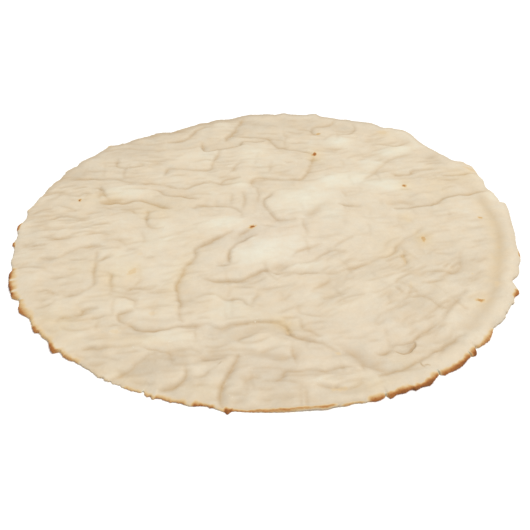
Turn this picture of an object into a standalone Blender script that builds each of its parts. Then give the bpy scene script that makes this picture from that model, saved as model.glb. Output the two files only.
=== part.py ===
"""Thin baked pizza crust, about 305 mm across: one closed solid lying flat on z = 0.

The outline is a circle with shallow lobes, flats and notches. The top is a low dome whose
surface is drawn down into valleys along the folds of the dough, with a raised rim and a broad
groove along the right-hand side. The underside is flat. The origin is at the middle of the
outline's box, on the underside. Metres, +Z up.
"""

import math
from typing import NamedTuple

import bmesh
import bpy
import numpy as np
from mathutils import Vector, geometry, noise

# Driving dimensions, in metres.
RADIUS = 0.1525
EDGE_THICKNESS = 0.0019
BODY_THICKNESS = 0.0034
LEAST_THICKNESS = 0.0009
DOME_RISE = 0.0010
SWELL_HEIGHT = 0.0008
SWELL_SPAN = 0.045
EDGE_SLOPE_WIDTH = 0.016
EDGE_ROUND = 0.0009

# The edge's rings below the top: each one's inset as a share of the rounding, and its height
# as a share of the edge's thickness.
EDGE_RINGS = ((0.0, 0.55), (0.15, 0.25), (0.60, 0.0))

# The rim stands up along the right-hand side, and again at the back on the right.
RIM_RISE = 0.0011
RIM_PLACE = 0.965
RIM_WIDTH = 0.032
RIM_SIDE_SPAN = (-62.0, 32.0)
RIM_BACK_SPAN = (40.0, 84.0)
RIM_SPAN_FADE = 12.0

# How finely the solid is faceted.
RIM_FACETS = 200
LATTICE_PITCH = 0.0062
FOLD_PITCH = 0.0052
FOLD_CLEARANCE = 0.0034
EDGE_CLEARANCE = 0.0040
FOLD_STEPS = 8
TAPER_SHARE = 0.22
CDT_EPSILON = 0.000001
INNER_TRIANGLES = 1

CRUST_COLOUR = (0.72, 0.60, 0.43, 1.0)
CRUST_ROUGHNESS = 0.85
SMOOTH_ANGLE = math.radians(35.0)


class Lobe(NamedTuple):
    """A shallow swell (or, when negative, a flat or notch) of the outline."""

    bearing: float  # degrees, counter-clockwise from +X
    rise: float  # share of the radius
    span: float  # degrees


class Fold(NamedTuple):
    """A valley in the top along a smooth line through points given in radii from FOLD_ORIGIN."""

    depth: float
    width: float
    points: tuple


OUTLINE_BASE = 0.991
LOBES = (
    Lobe(270.0, -0.006, 50.0),
    Lobe(12.0, 0.024, 4.0),
    Lobe(30.0, 0.044, 4.5),
    Lobe(52.0, 0.052, 5.5),
    Lobe(62.0, 0.026, 5.0),
    Lobe(77.0, 0.020, 8.0),
    Lobe(88.0, 0.010, 4.0),
    Lobe(102.0, -0.022, 5.0),
    Lobe(117.0, -0.045, 9.0),
    Lobe(130.0, -0.015, 4.0),
    Lobe(136.5, 0.016, 1.8),
    Lobe(177.0, 0.012, 3.5),
    Lobe(200.0, 0.024, 6.0),
    Lobe(208.5, 0.018, 2.4),
    Lobe(215.0, 0.012, 2.4),
    Lobe(223.0, 0.022, 2.0),
    Lobe(257.0, -0.010, 4.0),
    Lobe(262.4, 0.018, 1.8),
    Lobe(298.0, 0.014, 7.0),
    Lobe(310.0, 0.014, 4.0),
    Lobe(324.0, -0.008, 3.0),
    Lobe(336.0, 0.010, 3.0),
    Lobe(341.0, -0.024, 2.4),
)

# The spot that the folds' points are placed from, in radii from the middle of the outline.
FOLD_ORIGIN = (0.0, -0.024)

DEEP = 0.0012
MIDDLING = 0.0009
SHALLOW = 0.0006
NARROW = 0.0042
BROAD = 0.0080

FOLDS = (
    # Middle of the crust.
    Fold(DEEP, NARROW, ((-0.14, 0.0), (-0.28, -0.11), (-0.31, -0.25), (-0.33, -0.35), (-0.30, -0.56))),
    Fold(DEEP, NARROW, ((-0.03, -0.01), (-0.10, -0.05), (-0.15, -0.13), (-0.14, -0.21))),
    Fold(DEEP, NARROW, ((-0.23, -0.30), (-0.13, -0.31), (-0.04, -0.26), (0.12, -0.265), (0.23, -0.27))),
    Fold(MIDDLING, NARROW, ((0.26, -0.26), (0.34, -0.23), (0.47, -0.16), (0.51, -0.08), (0.62, 0.03))),
    Fold(MIDDLING, NARROW, ((0.02, 0.28), (-0.01, 0.21), (0.03, 0.10), (0.11, 0.095))),
    Fold(MIDDLING, NARROW, ((-0.28, 0.20), (-0.14, 0.19), (-0.10, 0.11))),
    Fold(SHALLOW, NARROW, ((0.10, -0.17), (0.13, -0.11), (0.21, -0.08))),
    # Left-hand side.
    Fold(DEEP, NARROW, ((-0.87, 0.42), (-0.65, 0.41), (-0.36, 0.325), (-0.22, 0.38), (-0.11, 0.42))),
    Fold(DEEP, NARROW, ((-0.70, 0.22), (-0.62, 0.215), (-0.54, 0.235), (-0.46, 0.20), (-0.39, 0.17))),
    Fold(MIDDLING, NARROW, ((-0.93, 0.06), (-0.84, 0.12), (-0.72, 0.11))),
    Fold(DEEP, NARROW, ((-0.87, -0.17), (-0.81, -0.16), (-0.74, -0.10), (-0.64, -0.08))),
    Fold(MIDDLING, NARROW, ((-0.61, -0.10), (-0.65, -0.21), (-0.64, -0.33), (-0.75, -0.40), (-0.82, -0.46))),
    Fold(MIDDLING, NARROW, ((-0.58, -0.27), (-0.57, -0.40), (-0.49, -0.41), (-0.48, -0.47), (-0.53, -0.51))),
    Fold(MIDDLING, NARROW, ((-0.74, -0.53), (-0.67, -0.50), (-0.60, -0.47))),
    # Front.
    Fold(DEEP, NARROW, ((-0.53, -0.52), (-0.44, -0.59), (-0.17, -0.58), (-0.02, -0.55), (0.07, -0.59))),
    Fold(DEEP, NARROW, ((0.07, -0.59), (0.10, -0.635), (0.18, -0.65), (0.24, -0.705))),
    Fold(DEEP, NARROW, ((-0.63, -0.68), (-0.48, -0.675), (-0.36, -0.70), (-0.28, -0.80), (-0.31, -0.87))),
    Fold(DEEP, NARROW, ((-0.10, -0.72), (-0.13, -0.80), (-0.15, -0.88), (-0.14, -0.94))),
    Fold(SHALLOW, BROAD, ((-0.25, -0.74), (-0.10, -0.72), (0.08, -0.735))),
    Fold(MIDDLING, NARROW, ((0.04, -0.84), (0.06, -0.80), (0.20, -0.795), (0.29, -0.78))),
    Fold(MIDDLING, BROAD, ((0.28, -0.69), (0.32, -0.74), (0.36, -0.79))),
    Fold(SHALLOW, NARROW, ((-0.49, -0.82), (-0.46, -0.79), (-0.40, -0.72))),
    # Right-hand side, with the groove inside the rim last.
    Fold(DEEP, NARROW, ((0.52, 0.17), (0.68, 0.21), (0.76, 0.27), (0.91, 0.305))),
    Fold(MIDDLING, NARROW, ((0.57, -0.29), (0.62, -0.25), (0.70, -0.255), (0.735, -0.19))),
    Fold(MIDDLING, NARROW, ((0.43, -0.69), (0.52, -0.63), (0.61, -0.55), (0.68, -0.43))),
    Fold(DEEP, NARROW, ((0.38, -0.815), (0.50, -0.75), (0.60, -0.67), (0.70, -0.60))),
    Fold(DEEP, BROAD, ((0.70, -0.58), (0.80, -0.43), (0.87, -0.25), (0.92, -0.02), (0.90, 0.18))),
    # Back.
    Fold(DEEP, NARROW, ((-0.12, 0.93), (-0.15, 0.84), (-0.19, 0.74))),
    Fold(DEEP, NARROW, ((-0.30, 0.72), (-0.27, 0.65), (-0.13, 0.70), (-0.01, 0.735))),
    Fold(MIDDLING, NARROW, ((-0.16, 0.79), (0.0, 0.77), (0.05, 0.69), (0.21, 0.62))),
    Fold(MIDDLING, NARROW, ((0.20, 0.58), (0.17, 0.44), (0.07, 0.40), (-0.05, 0.41))),
    Fold(MIDDLING, NARROW, ((-0.45, 0.42), (-0.42, 0.49), (-0.26, 0.48), (-0.21, 0.62))),
    Fold(MIDDLING, NARROW, ((-0.46, 0.73), (-0.37, 0.77), (-0.30, 0.87))),
    Fold(MIDDLING, NARROW, ((0.42, 0.40), (0.50, 0.51), (0.60, 0.605), (0.67, 0.62))),
    Fold(SHALLOW, NARROW, ((0.54, 0.45), (0.63, 0.45), (0.76, 0.50))),
    Fold(SHALLOW, NARROW, ((0.21, 0.86), (0.27, 0.885), (0.33, 0.80), (0.41, 0.86))),
)


def clear_scene() -> None:
    """Removes the objects that a new file starts with."""
    for item in list(bpy.data.objects):
        bpy.data.objects.remove(item, do_unlink=True)


def outline_radius(bearing: float) -> float:
    """The outline's distance from the middle, in metres, at a bearing in degrees."""
    share = OUTLINE_BASE
    for lobe in LOBES:
        turn = (bearing - lobe.bearing + 180.0) % 360.0 - 180.0
        share += lobe.rise * math.exp(-((turn / lobe.span) ** 2))
    return share * RADIUS


def outline_points(inset: float) -> list[Vector]:
    """The outline as even steps round the crust, drawn in by an inset."""
    points = []
    for step in range(RIM_FACETS):
        bearing = 360.0 * step / RIM_FACETS
        reach = outline_radius(bearing) - inset
        angle = math.radians(bearing)
        points.append(Vector((reach * math.cos(angle), reach * math.sin(angle))))
    return points


def outline_middle() -> Vector:
    """The middle of the box round the outline."""
    points = outline_points(0.0)
    across = [point.x for point in points]
    along = [point.y for point in points]
    return Vector(((min(across) + max(across)) / 2.0, (min(along) + max(along)) / 2.0, 0.0))


def fold_line(fold: Fold) -> np.ndarray:
    """Even points, in metres, along the smooth line through a fold's own points."""
    knots = [(Vector(point) + Vector(FOLD_ORIGIN)) * RADIUS for point in fold.points]
    knots = [2.0 * knots[0] - knots[1]] + knots + [2.0 * knots[-1] - knots[-2]]
    curve = []
    for before, start, end, after in zip(knots, knots[1:], knots[2:], knots[3:]):
        for step in range(FOLD_STEPS):
            t = step / FOLD_STEPS
            curve.append(
                0.5 * (
                    2.0 * start
                    + (end - before) * t
                    + (2.0 * before - 5.0 * start + 4.0 * end - after) * t**2
                    + (3.0 * start - before - 3.0 * end + after) * t**3
                )
            )
    curve.append(knots[-2])
    line = np.array([(point.x, point.y) for point in curve])
    travelled = np.concatenate(([0.0], np.cumsum(np.hypot(*np.diff(line, axis=0).T))))
    stops = np.linspace(0.0, travelled[-1], max(3, round(travelled[-1] / FOLD_PITCH) + 1))
    return np.stack([np.interp(stops, travelled, line[:, axis]) for axis in (0, 1)], axis=1)


def taper(share: np.ndarray) -> np.ndarray:
    """A fold's depth along its length: nothing at both ends, full between."""
    near_end = np.minimum(share, 1.0 - share) / TAPER_SHARE
    return np.clip(near_end, 0.0, 1.0) ** 0.5


def valley_depth(spots: np.ndarray, lines: list[np.ndarray]) -> np.ndarray:
    """How far the folds draw the top down at each spot, the deepest fold counting."""
    depth = np.zeros(len(spots))
    for fold, line in zip(FOLDS, lines):
        starts = line[:-1]
        runs = np.diff(line, axis=0)
        for index, (start, run) in enumerate(zip(starts, runs)):
            share = np.clip((spots - start) @ run / (run @ run), 0.0, 1.0)
            gap = np.hypot(*(spots - start - share[:, None] * run).T)
            reach = fold.depth * taper((index + share) / len(runs))
            depth = np.maximum(depth, reach * np.exp(-gap / fold.width))
    return depth


def fade(bearing: np.ndarray, span: tuple[float, float]) -> np.ndarray:
    """One inside a span of bearings, in degrees, falling to nothing past its ends."""
    outside = np.maximum(span[0] - bearing, bearing - span[1])
    return np.exp(-((np.clip(outside, 0.0, None) / RIM_SPAN_FADE) ** 2))


def top_height(spots: np.ndarray, lines: list[np.ndarray]) -> np.ndarray:
    """Height of the top, in metres, at each spot on the crust."""
    bearing = np.degrees(np.arctan2(spots[:, 1], spots[:, 0]))
    edge = np.array([outline_radius(angle) for angle in bearing])
    from_middle = np.hypot(spots[:, 0], spots[:, 1])
    place = from_middle / edge
    swell = np.array([noise.noise(Vector((x, y, 0.0)) / SWELL_SPAN) for x, y in spots])
    body = BODY_THICKNESS + DOME_RISE * (1.0 - place**2) + SWELL_HEIGHT * swell
    rim = np.maximum(fade(bearing, RIM_SIDE_SPAN), fade(bearing, RIM_BACK_SPAN))
    rim = RIM_RISE * rim * np.exp(-(((place - RIM_PLACE) / RIM_WIDTH) ** 2))
    inner = np.clip((edge - from_middle) / EDGE_SLOPE_WIDTH, 0.0, 1.0)
    slope = (BODY_THICKNESS - EDGE_THICKNESS) * (1.0 - inner) ** 2
    return np.maximum(body + rim - slope - valley_depth(spots, lines), LEAST_THICKNESS)


def lattice(lines: list[np.ndarray]) -> np.ndarray:
    """A triangular lattice of spots inside the outline, clear of its edge and the folds."""
    row_pitch = LATTICE_PITCH * math.sqrt(3.0) / 2.0
    rows = math.ceil(RADIUS * 1.1 / row_pitch)
    spots = []
    for row in range(-rows, rows + 1):
        offset = LATTICE_PITCH / 2.0 if row % 2 else 0.0
        for column in range(-rows, rows + 1):
            spots.append((column * LATTICE_PITCH + offset, row * row_pitch))
    spots = np.array(spots)
    edge = np.array([outline_radius(math.degrees(math.atan2(y, x))) for x, y in spots])
    inside = np.hypot(spots[:, 0], spots[:, 1]) < edge - EDGE_ROUND - EDGE_CLEARANCE
    spots = spots[inside]
    folded = np.concatenate(lines)
    gaps = np.hypot(*(spots[:, None, :] - folded[None, :, :]).transpose(2, 0, 1))
    return spots[gaps.min(axis=1) > FOLD_CLEARANCE]


def triangulated_top(lines: list[np.ndarray]) -> tuple[np.ndarray, list[tuple[int, ...]]]:
    """The top's flat triangles, whose edges follow the folds; the rim's spots come first."""
    spots = outline_points(EDGE_ROUND)
    edges = [(step, (step + 1) % RIM_FACETS) for step in range(RIM_FACETS)]
    for line in lines:
        first = len(spots)
        spots.extend(Vector(point) for point in line)
        edges.extend((first + step, first + step + 1) for step in range(len(line) - 1))
    spots.extend(Vector(point) for point in lattice(lines))
    result = geometry.delaunay_2d_cdt(spots, edges, [], INNER_TRIANGLES, CDT_EPSILON)
    return np.array([tuple(spot) for spot in result[0]]), [tuple(face) for face in result[2]]


def add_edge_ring(mesh: bmesh.types.BMesh, inset: float, height: float) -> list[bmesh.types.BMVert]:
    """A ring of vertices round the crust's edge at one inset and height."""
    return [mesh.verts.new((point.x, point.y, height)) for point in outline_points(inset)]


def bridge(mesh: bmesh.types.BMesh, upper: list, lower: list) -> None:
    """Joins two edge rings with outward-facing quads."""
    for step in range(RIM_FACETS):
        after = (step + 1) % RIM_FACETS
        mesh.faces.new((upper[step], lower[step], lower[after], upper[after]))


def crust_material() -> bpy.types.Material:
    """Pale baked dough."""
    material = bpy.data.materials.new("baked_dough")
    material.use_nodes = True
    shader = material.node_tree.nodes["Principled BSDF"]
    shader.inputs["Base Color"].default_value = CRUST_COLOUR
    shader.inputs["Roughness"].default_value = CRUST_ROUGHNESS
    shader.inputs["Metallic"].default_value = 0.0
    return material


def build_crust() -> bpy.types.Object:
    """The whole crust as one closed body."""
    lines = [fold_line(fold) for fold in FOLDS]
    spots, triangles = triangulated_top(lines)
    heights = top_height(spots, lines)
    mesh = bmesh.new()
    top = [mesh.verts.new((x, y, z)) for (x, y), z in zip(spots, heights)]
    for triangle in triangles:
        mesh.faces.new([top[index] for index in triangle])
    upper = top[:RIM_FACETS]
    for inset, height in EDGE_RINGS:
        lower = add_edge_ring(mesh, inset * EDGE_ROUND, height * EDGE_THICKNESS)
        bridge(mesh, upper, lower)
        upper = lower
    mesh.faces.new(list(reversed(upper)))
    bmesh.ops.translate(mesh, verts=mesh.verts, vec=-outline_middle())
    data = bpy.data.meshes.new("crust")
    mesh.to_mesh(data)
    mesh.free()
    data.materials.append(crust_material())
    data.shade_smooth()
    data.set_sharp_from_angle(angle=SMOOTH_ANGLE)
    crust = bpy.data.objects.new("crust", data)
    bpy.context.scene.collection.objects.link(crust)
    return crust


clear_scene()
build_crust()
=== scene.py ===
"""A thin baked pizza crust lying on a pale studio floor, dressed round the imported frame.

The crust is one mesh: a round sheet of pale dough whose top is drawn down along its folds,
with a low rim and groove down its right-hand side and a ragged, toasted edge. Its width and
height come from the frame's crust, and everything else is worked out from them.
"""

import logging
import math
from dataclasses import dataclass, field
from enum import Enum
from typing import Any, Iterable, Union

import bpy
import numpy as np
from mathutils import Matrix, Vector, geometry


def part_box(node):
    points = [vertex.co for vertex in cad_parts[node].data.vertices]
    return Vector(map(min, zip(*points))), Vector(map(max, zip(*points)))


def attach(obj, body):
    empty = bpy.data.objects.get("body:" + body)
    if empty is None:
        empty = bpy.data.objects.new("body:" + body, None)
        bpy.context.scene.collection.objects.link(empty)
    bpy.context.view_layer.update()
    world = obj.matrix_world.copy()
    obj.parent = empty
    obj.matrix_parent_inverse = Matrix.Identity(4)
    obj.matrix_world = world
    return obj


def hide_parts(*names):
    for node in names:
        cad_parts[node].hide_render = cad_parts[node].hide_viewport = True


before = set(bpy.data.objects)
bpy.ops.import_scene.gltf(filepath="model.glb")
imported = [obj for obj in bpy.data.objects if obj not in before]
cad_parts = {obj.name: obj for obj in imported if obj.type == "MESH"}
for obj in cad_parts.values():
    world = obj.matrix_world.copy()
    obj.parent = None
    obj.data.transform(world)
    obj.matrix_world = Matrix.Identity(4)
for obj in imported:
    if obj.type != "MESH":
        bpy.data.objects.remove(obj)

log = logging.getLogger("pizza_crust")

MM = 0.001
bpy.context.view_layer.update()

Points = tuple[tuple[float, float], ...]


def linear(red: float, green: float, blue: float) -> tuple[float, float, float, float]:
    """Turns a screen colour, 0 to 255 a channel, into the linear colour that shaders use.

    Args:
        red: red channel.
        green: green channel.
        blue: blue channel.

    Returns:
        Linear red, green and blue, with alpha 1.
    """
    channels = []
    for level in (red, green, blue):
        share = level / 255.0
        channels.append(share / 12.92 if share <= 0.04045 else ((share + 0.055) / 1.055) ** 2.4)
    return (*channels, 1.0)


def bell(offset: np.ndarray, width: float) -> np.ndarray:
    """One at no offset, falling smoothly to nothing over about two widths."""
    return np.exp(-((offset / width) ** 2))


def ease(share: np.ndarray) -> np.ndarray:
    """Eases a share from 0 to 1 in and out, clipped outside that range."""
    share = np.clip(share, 0.0, 1.0)
    return share * share * (3.0 - 2.0 * share)


def turn_between(bearing: np.ndarray, centre: float) -> np.ndarray:
    """The shortest turn, in degrees, from a centre to each bearing."""
    return (bearing - centre + 180.0) % 360.0 - 180.0


def bearing_of(places: np.ndarray) -> np.ndarray:
    """The bearing of each place from the middle, in degrees from 0 to 360."""
    return np.degrees(np.arctan2(places[:, 1], places[:, 0])) % 360.0


def around(bearing: np.ndarray, reach: Union[float, np.ndarray]) -> np.ndarray:
    """Places at these bearings, in degrees, and at this reach from the middle."""
    angle = np.radians(bearing)
    return np.stack((reach * np.cos(angle), reach * np.sin(angle)), axis=1)


def left_of(path: np.ndarray) -> np.ndarray:
    """Unit directions to the left of a path, at each place along it."""
    run = np.gradient(path, axis=0)
    return np.stack((-run[:, 1], run[:, 0]), axis=1) / np.hypot(*run.T)[:, None]


def raise_to(levels: np.ndarray, near: np.ndarray, least: np.ndarray) -> None:
    """Raises some of the levels, in place.

    Args:
        levels: the levels.
        near: indices of those to raise.
        least: what each of these is raised to, unless it is higher already.
    """
    levels[near] = np.maximum(levels[near], least)


class Grain:
    """Smooth noise over the plane, from about -1 to 1, the same each run."""

    SIDE = 128
    GAIN = 1.5

    def __init__(self, seed: int) -> None:
        """Draws the noise's slopes.

        Args:
            seed: number that picks the pattern.
        """
        angles = np.random.default_rng(seed).uniform(0.0, 2.0 * math.pi, (self.SIDE, self.SIDE))
        self.slope_x = np.cos(angles)
        self.slope_y = np.sin(angles)

    def at(self, x: np.ndarray, y: np.ndarray, pitch: float) -> np.ndarray:
        """Noise at each place.

        Args:
            x: places along X, in metres.
            y: places along Y, in metres.
            pitch: distance between two lumps, in metres.

        Returns:
            A level for each place.
        """
        across, along = x / pitch, y / pitch
        column, row = np.floor(across).astype(int), np.floor(along).astype(int)
        across, along = across - column, along - row

        def corner(right: int, up: int) -> np.ndarray:
            """The slope of one lattice corner, read at each place."""
            cell = (column + right) % self.SIDE, (row + up) % self.SIDE
            return self.slope_x[cell] * (across - right) + self.slope_y[cell] * (along - up)

        blend_x, blend_y = ease(across), ease(along)
        low = corner(0, 0) * (1.0 - blend_x) + corner(1, 0) * blend_x
        high = corner(0, 1) * (1.0 - blend_x) + corner(1, 1) * blend_x
        return self.GAIN * (low * (1.0 - blend_y) + high * blend_y)

    def layered(self, places: np.ndarray, broad: float, fine: float, share: float) -> np.ndarray:
        """Broad noise with finer noise laid over it.

        Args:
            places: places in metres.
            broad: distance between two broad lumps, in metres.
            fine: distance between two fine lumps, in metres.
            share: how strong the finer noise is.

        Returns:
            A level for each place.
        """
        x, y = places.T
        return self.at(x, y, broad) + share * self.at(y, x, fine)


@dataclass(frozen=True)
class Lobe:
    """A swell of the outline, or a flat or notch where its rise is negative.

    The bearing is in degrees, counter-clockwise from +X, and the rise a share of the radius.
    The swell fades over one span, in degrees, before its bearing and another after it.
    """

    bearing: float
    rise: float
    before: float
    after: float

    def at(self, bearing: np.ndarray) -> np.ndarray:
        """The swell's rise at each bearing."""
        turn = turn_between(bearing, self.bearing)
        return self.rise * bell(turn, np.where(turn < 0.0, self.before, self.after))


@dataclass(frozen=True)
class Slit:
    """A thin radial split in the edge, with its depth in metres and its half-width in degrees."""

    bearing: float
    depth: float
    half_width: float = 0.20


class Outline:
    """The crust's edge as a distance from the middle at each bearing."""

    BASE = 0.991
    FRAY_SEED = 7
    RIGHT_LOBES = (
        Lobe(337.4, 0.012, 1.0, 1.3),
        Lobe(341.2, -0.024, 1.9, 2.2),
        Lobe(347.0, -0.007, 2.0, 1.4),
        Lobe(355.0, -0.009, 2.5, 4.0),
        Lobe(11.9, 0.024, 6.0, 0.5),
        Lobe(14.5, 0.010, 2.2, 3.0),
        Lobe(17.0, 0.005, 1.2, 1.2),
        Lobe(22.6, 0.011, 1.8, 1.4),
        Lobe(28.6, 0.040, 5.2, 2.2),
        Lobe(32.0, 0.030, 2.2, 1.5),
        Lobe(36.0, 0.010, 2.5, 3.5),
        Lobe(42.0, 0.004, 3.0, 4.0),
    )
    BACK_LOBES = (
        Lobe(52.2, 0.058, 5.6, 4.6),
        Lobe(56.0, 0.010, 1.2, 0.9),
        Lobe(61.0, 0.040, 3.2, 6.0),
        Lobe(67.8, 0.011, 1.6, 1.4),
        Lobe(72.0, 0.009, 3.0, 3.0),
        Lobe(76.8, 0.023, 1.2, 1.6),
        Lobe(80.0, 0.010, 6.0, 5.0),
        Lobe(85.2, 0.012, 0.9, 1.2),
        Lobe(87.7, -0.005, 0.5, 0.5),
        Lobe(90.5, 0.005, 2.0, 3.5),
        Lobe(95.0, 0.004, 1.2, 0.3),
        Lobe(101.0, -0.020, 3.4, 2.6),
        Lobe(107.0, -0.012, 2.6, 1.0),
        Lobe(118.4, -0.054, 12.0, 3.0),
        Lobe(124.4, 0.004, 0.4, 0.3),
        Lobe(125.0, -0.034, 4.0, 5.5),
        Lobe(132.6, -0.019, 3.0, 2.4),
        Lobe(133.1, 0.008, 0.25, 0.5),
        Lobe(136.3, 0.013, 0.9, 1.1),
    )
    LEFT_LOBES = (
        Lobe(141.8, -0.006, 2.4, 2.0),
        Lobe(146.2, 0.004, 1.0, 1.2),
        Lobe(148.6, -0.006, 0.9, 0.8),
        Lobe(151.8, 0.008, 1.2, 1.0),
        Lobe(155.5, -0.005, 1.6, 1.6),
        Lobe(163.5, -0.005, 1.2, 1.0),
        Lobe(170.8, 0.011, 1.6, 1.0),
        Lobe(174.2, -0.004, 1.0, 0.8),
        Lobe(177.8, 0.015, 1.7, 1.9),
        Lobe(184.4, 0.012, 1.3, 0.9),
        Lobe(191.0, 0.007, 1.8, 1.8),
        Lobe(195.3, 0.008, 0.5, 2.0),
        Lobe(199.8, 0.024, 4.0, 3.0),
        Lobe(203.8, 0.020, 2.2, 0.9),
        Lobe(208.9, 0.023, 2.6, 1.8),
        Lobe(216.3, 0.018, 3.2, 0.6),
        Lobe(218.5, 0.009, 1.6, 1.4),
        Lobe(224.0, 0.027, 2.7, 0.5),
        Lobe(226.8, 0.013, 1.8, 2.0),
    )
    FRONT_LOBES = (
        Lobe(270.0, -0.006, 50.0, 50.0),
        Lobe(235.6, 0.006, 0.9, 0.6),
        Lobe(237.4, 0.003, 0.5, 0.6),
        Lobe(238.7, -0.005, 0.3, 0.3),
        Lobe(240.6, 0.007, 6.0, 4.5),
        Lobe(240.7, -0.006, 0.4, 0.3),
        Lobe(245.9, -0.008, 0.4, 0.15),
        Lobe(247.0, 0.008, 0.6, 0.4),
        Lobe(248.2, 0.012, 0.5, 0.5),
        Lobe(251.6, 0.006, 1.4, 0.5),
        Lobe(255.2, 0.004, 1.0, 1.2),
        Lobe(258.5, -0.007, 1.6, 1.6),
        Lobe(259.2, 0.005, 0.2, 0.2),
        Lobe(261.9, 0.006, 1.0, 0.6),
        Lobe(262.7, 0.016, 0.45, 0.5),
        Lobe(281.2, 0.006, 2.5, 1.0),
        Lobe(285.0, 0.004, 1.5, 1.0),
        Lobe(288.2, 0.006, 0.9, 0.8),
        Lobe(290.8, 0.012, 1.6, 1.8),
        Lobe(293.2, 0.016, 0.15, 1.4),
        Lobe(296.6, 0.013, 2.0, 2.4),
        Lobe(298.6, 0.013, 0.3, 2.0),
        Lobe(301.8, 0.021, 1.7, 2.0),
        Lobe(305.9, 0.012, 0.5, 2.0),
        Lobe(309.3, 0.018, 2.0, 4.5),
        Lobe(314.7, 0.013, 0.8, 0.55),
        Lobe(316.2, -0.013, 0.4, 0.35),
        Lobe(319.6, 0.009, 1.8, 2.2),
        Lobe(324.0, -0.008, 1.6, 1.4),
        Lobe(328.3, 0.004, 0.6, 0.5),
        Lobe(333.8, 0.007, 0.6, 0.9),
        Lobe(208.0, 0.005, 28.0, 26.0),
        Lobe(306.0, 0.0055, 16.0, 24.0),
    )
    LOBES = RIGHT_LOBES + BACK_LOBES + LEFT_LOBES + FRONT_LOBES
    SLITS = (
        Slit(292.7, 1.3 * MM, 0.22),
        Slit(305.0, 2.2 * MM, 0.26),
        Slit(313.6, 2.0 * MM, 0.24),
        Slit(332.4, 1.2 * MM),
        Slit(245.6, 1.0 * MM),
        Slit(198.3, 0.7 * MM, 0.25),
        Slit(202.2, 0.7 * MM, 0.25),
        Slit(205.2, 0.8 * MM, 0.25),
    )
    FRAYS = (
        Lobe(212.0, 0.0009, 20.0, 20.0),
        Lobe(242.0, 0.0018, 10.0, 12.0),
        Lobe(300.0, 0.0004, 14.0, 14.0),
        Lobe(326.0, 0.0016, 10.0, 10.0),
        Lobe(115.0, 0.0012, 40.0, 40.0),
    )
    CALM_FRAY = 0.0008
    CALM_TURNS = (-3.6, -2.4, -1.2, 0.0, 1.2, 2.4, 3.6)
    TEETH_PITCH = 2.1 * MM
    TEETH_LENGTH = 2.6
    CRUMB_PITCH = 0.9 * MM
    SLIT_NEAR = 1.4
    SLIT_POWER = 0.6

    def __init__(self) -> None:
        """Draws the fraying."""
        self.fray = Grain(self.FRAY_SEED)

    def smooth(self, bearing: np.ndarray) -> np.ndarray:
        """The edge without its fraying, in radii.

        Args:
            bearing: bearings in degrees.

        Returns:
            Distance from the middle at each bearing.
        """
        return self.BASE + sum(lobe.at(bearing) for lobe in self.LOBES)

    def slit_share(self, bearing: np.ndarray) -> np.ndarray:
        """How near each bearing is to a slit.

        Args:
            bearing: bearings in degrees.

        Returns:
            Levels from 0 to 1, which is in a slit's middle.
        """
        nearness = []
        for slit in self.SLITS:
            turn = turn_between(bearing, slit.bearing)
            nearness.append(bell(turn, self.SLIT_NEAR * slit.half_width))
        return np.max(nearness, axis=0)

    def calm(self, bearing: np.ndarray) -> np.ndarray:
        """The edge evened out over some degrees either way, in radii."""
        return sum(self.smooth(bearing + turn) for turn in self.CALM_TURNS) / len(self.CALM_TURNS)

    def ragged(self, bearing: np.ndarray, radius: float) -> np.ndarray:
        """The edge with its fraying and slits, in radii.

        Args:
            bearing: bearings in degrees.
            radius: the crust's radius in metres.

        Returns:
            Distance from the middle at each bearing.
        """
        amount = self.CALM_FRAY + sum(fray.at(bearing) for fray in self.FRAYS)
        x, y = around(bearing, radius).T
        teeth = 1.0 - self.TEETH_LENGTH * np.abs(self.fray.at(x, y, self.TEETH_PITCH))
        crumbs = self.fray.at(y, x, self.CRUMB_PITCH)
        reach = self.smooth(bearing) + amount * (teeth + crumbs - 0.5)
        for slit in self.SLITS:
            near = 1.0 - np.abs(turn_between(bearing, slit.bearing)) / slit.half_width
            reach = reach - slit.depth / radius * np.clip(near, 0.0, 1.0) ** self.SLIT_POWER
        return reach


class Crease(Enum):
    """How a fold is pressed in: depth, width of its line, reach of its flanks, and its line's darkness.

    That darkness is partly a browner staining of the dough and partly painted shade: up to about 1
    for a fold, and more for a crack.
    """

    DEEP = (1.45 * MM, 1.5 * MM, 6.0 * MM, 1.10)
    FIRM = (1.05 * MM, 1.4 * MM, 5.0 * MM, 0.78)
    SOFT = (0.70 * MM, 1.4 * MM, 4.2 * MM, 0.56)
    FAINT = (0.50 * MM, 1.3 * MM, 3.2 * MM, 0.46)
    BROAD = (1.05 * MM, 3.0 * MM, 7.0 * MM, 0.66)
    GROOVE = (0.95 * MM, 4.0 * MM, 8.0 * MM, 0.58)
    WIDE = (1.20 * MM, 2.8 * MM, 7.0 * MM, 0.95)
    CRACK = (1.10 * MM, 0.5 * MM, 1.0 * MM, 2.60)
    SPLIT = (1.60 * MM, 0.9 * MM, 1.2 * MM, 3.00)

    @property
    def depth(self) -> float:
        """Depth of the fold in metres."""
        return self.value[0]

    @property
    def line(self) -> float:
        """Half-width of the line in metres."""
        return self.value[1]

    @property
    def flank(self) -> float:
        """Reach of the soft flanks in metres."""
        return self.value[2]

    @property
    def stain_and_shade(self) -> float:
        """How dark the line is, partly staining and partly painted shade."""
        return self.value[3]

    @property
    def cracked(self) -> bool:
        """Whether it is a crack in the top instead of a fold."""
        return self in (Crease.CRACK, Crease.SPLIT)

    @property
    def evenness(self) -> float:
        """How even and ungreyed it is along its length, from 0 to 1."""
        return 0.8 if self is Crease.GROOVE else 0.0


@dataclass(frozen=True)
class Fold:
    """A valley along a smooth line through points given in radii from the middle.

    The dough on the line's left lies lower, by the step's share of the depth, with painted shade on it.
    """

    crease: Crease
    points: Points
    step: float = 0.5


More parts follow.
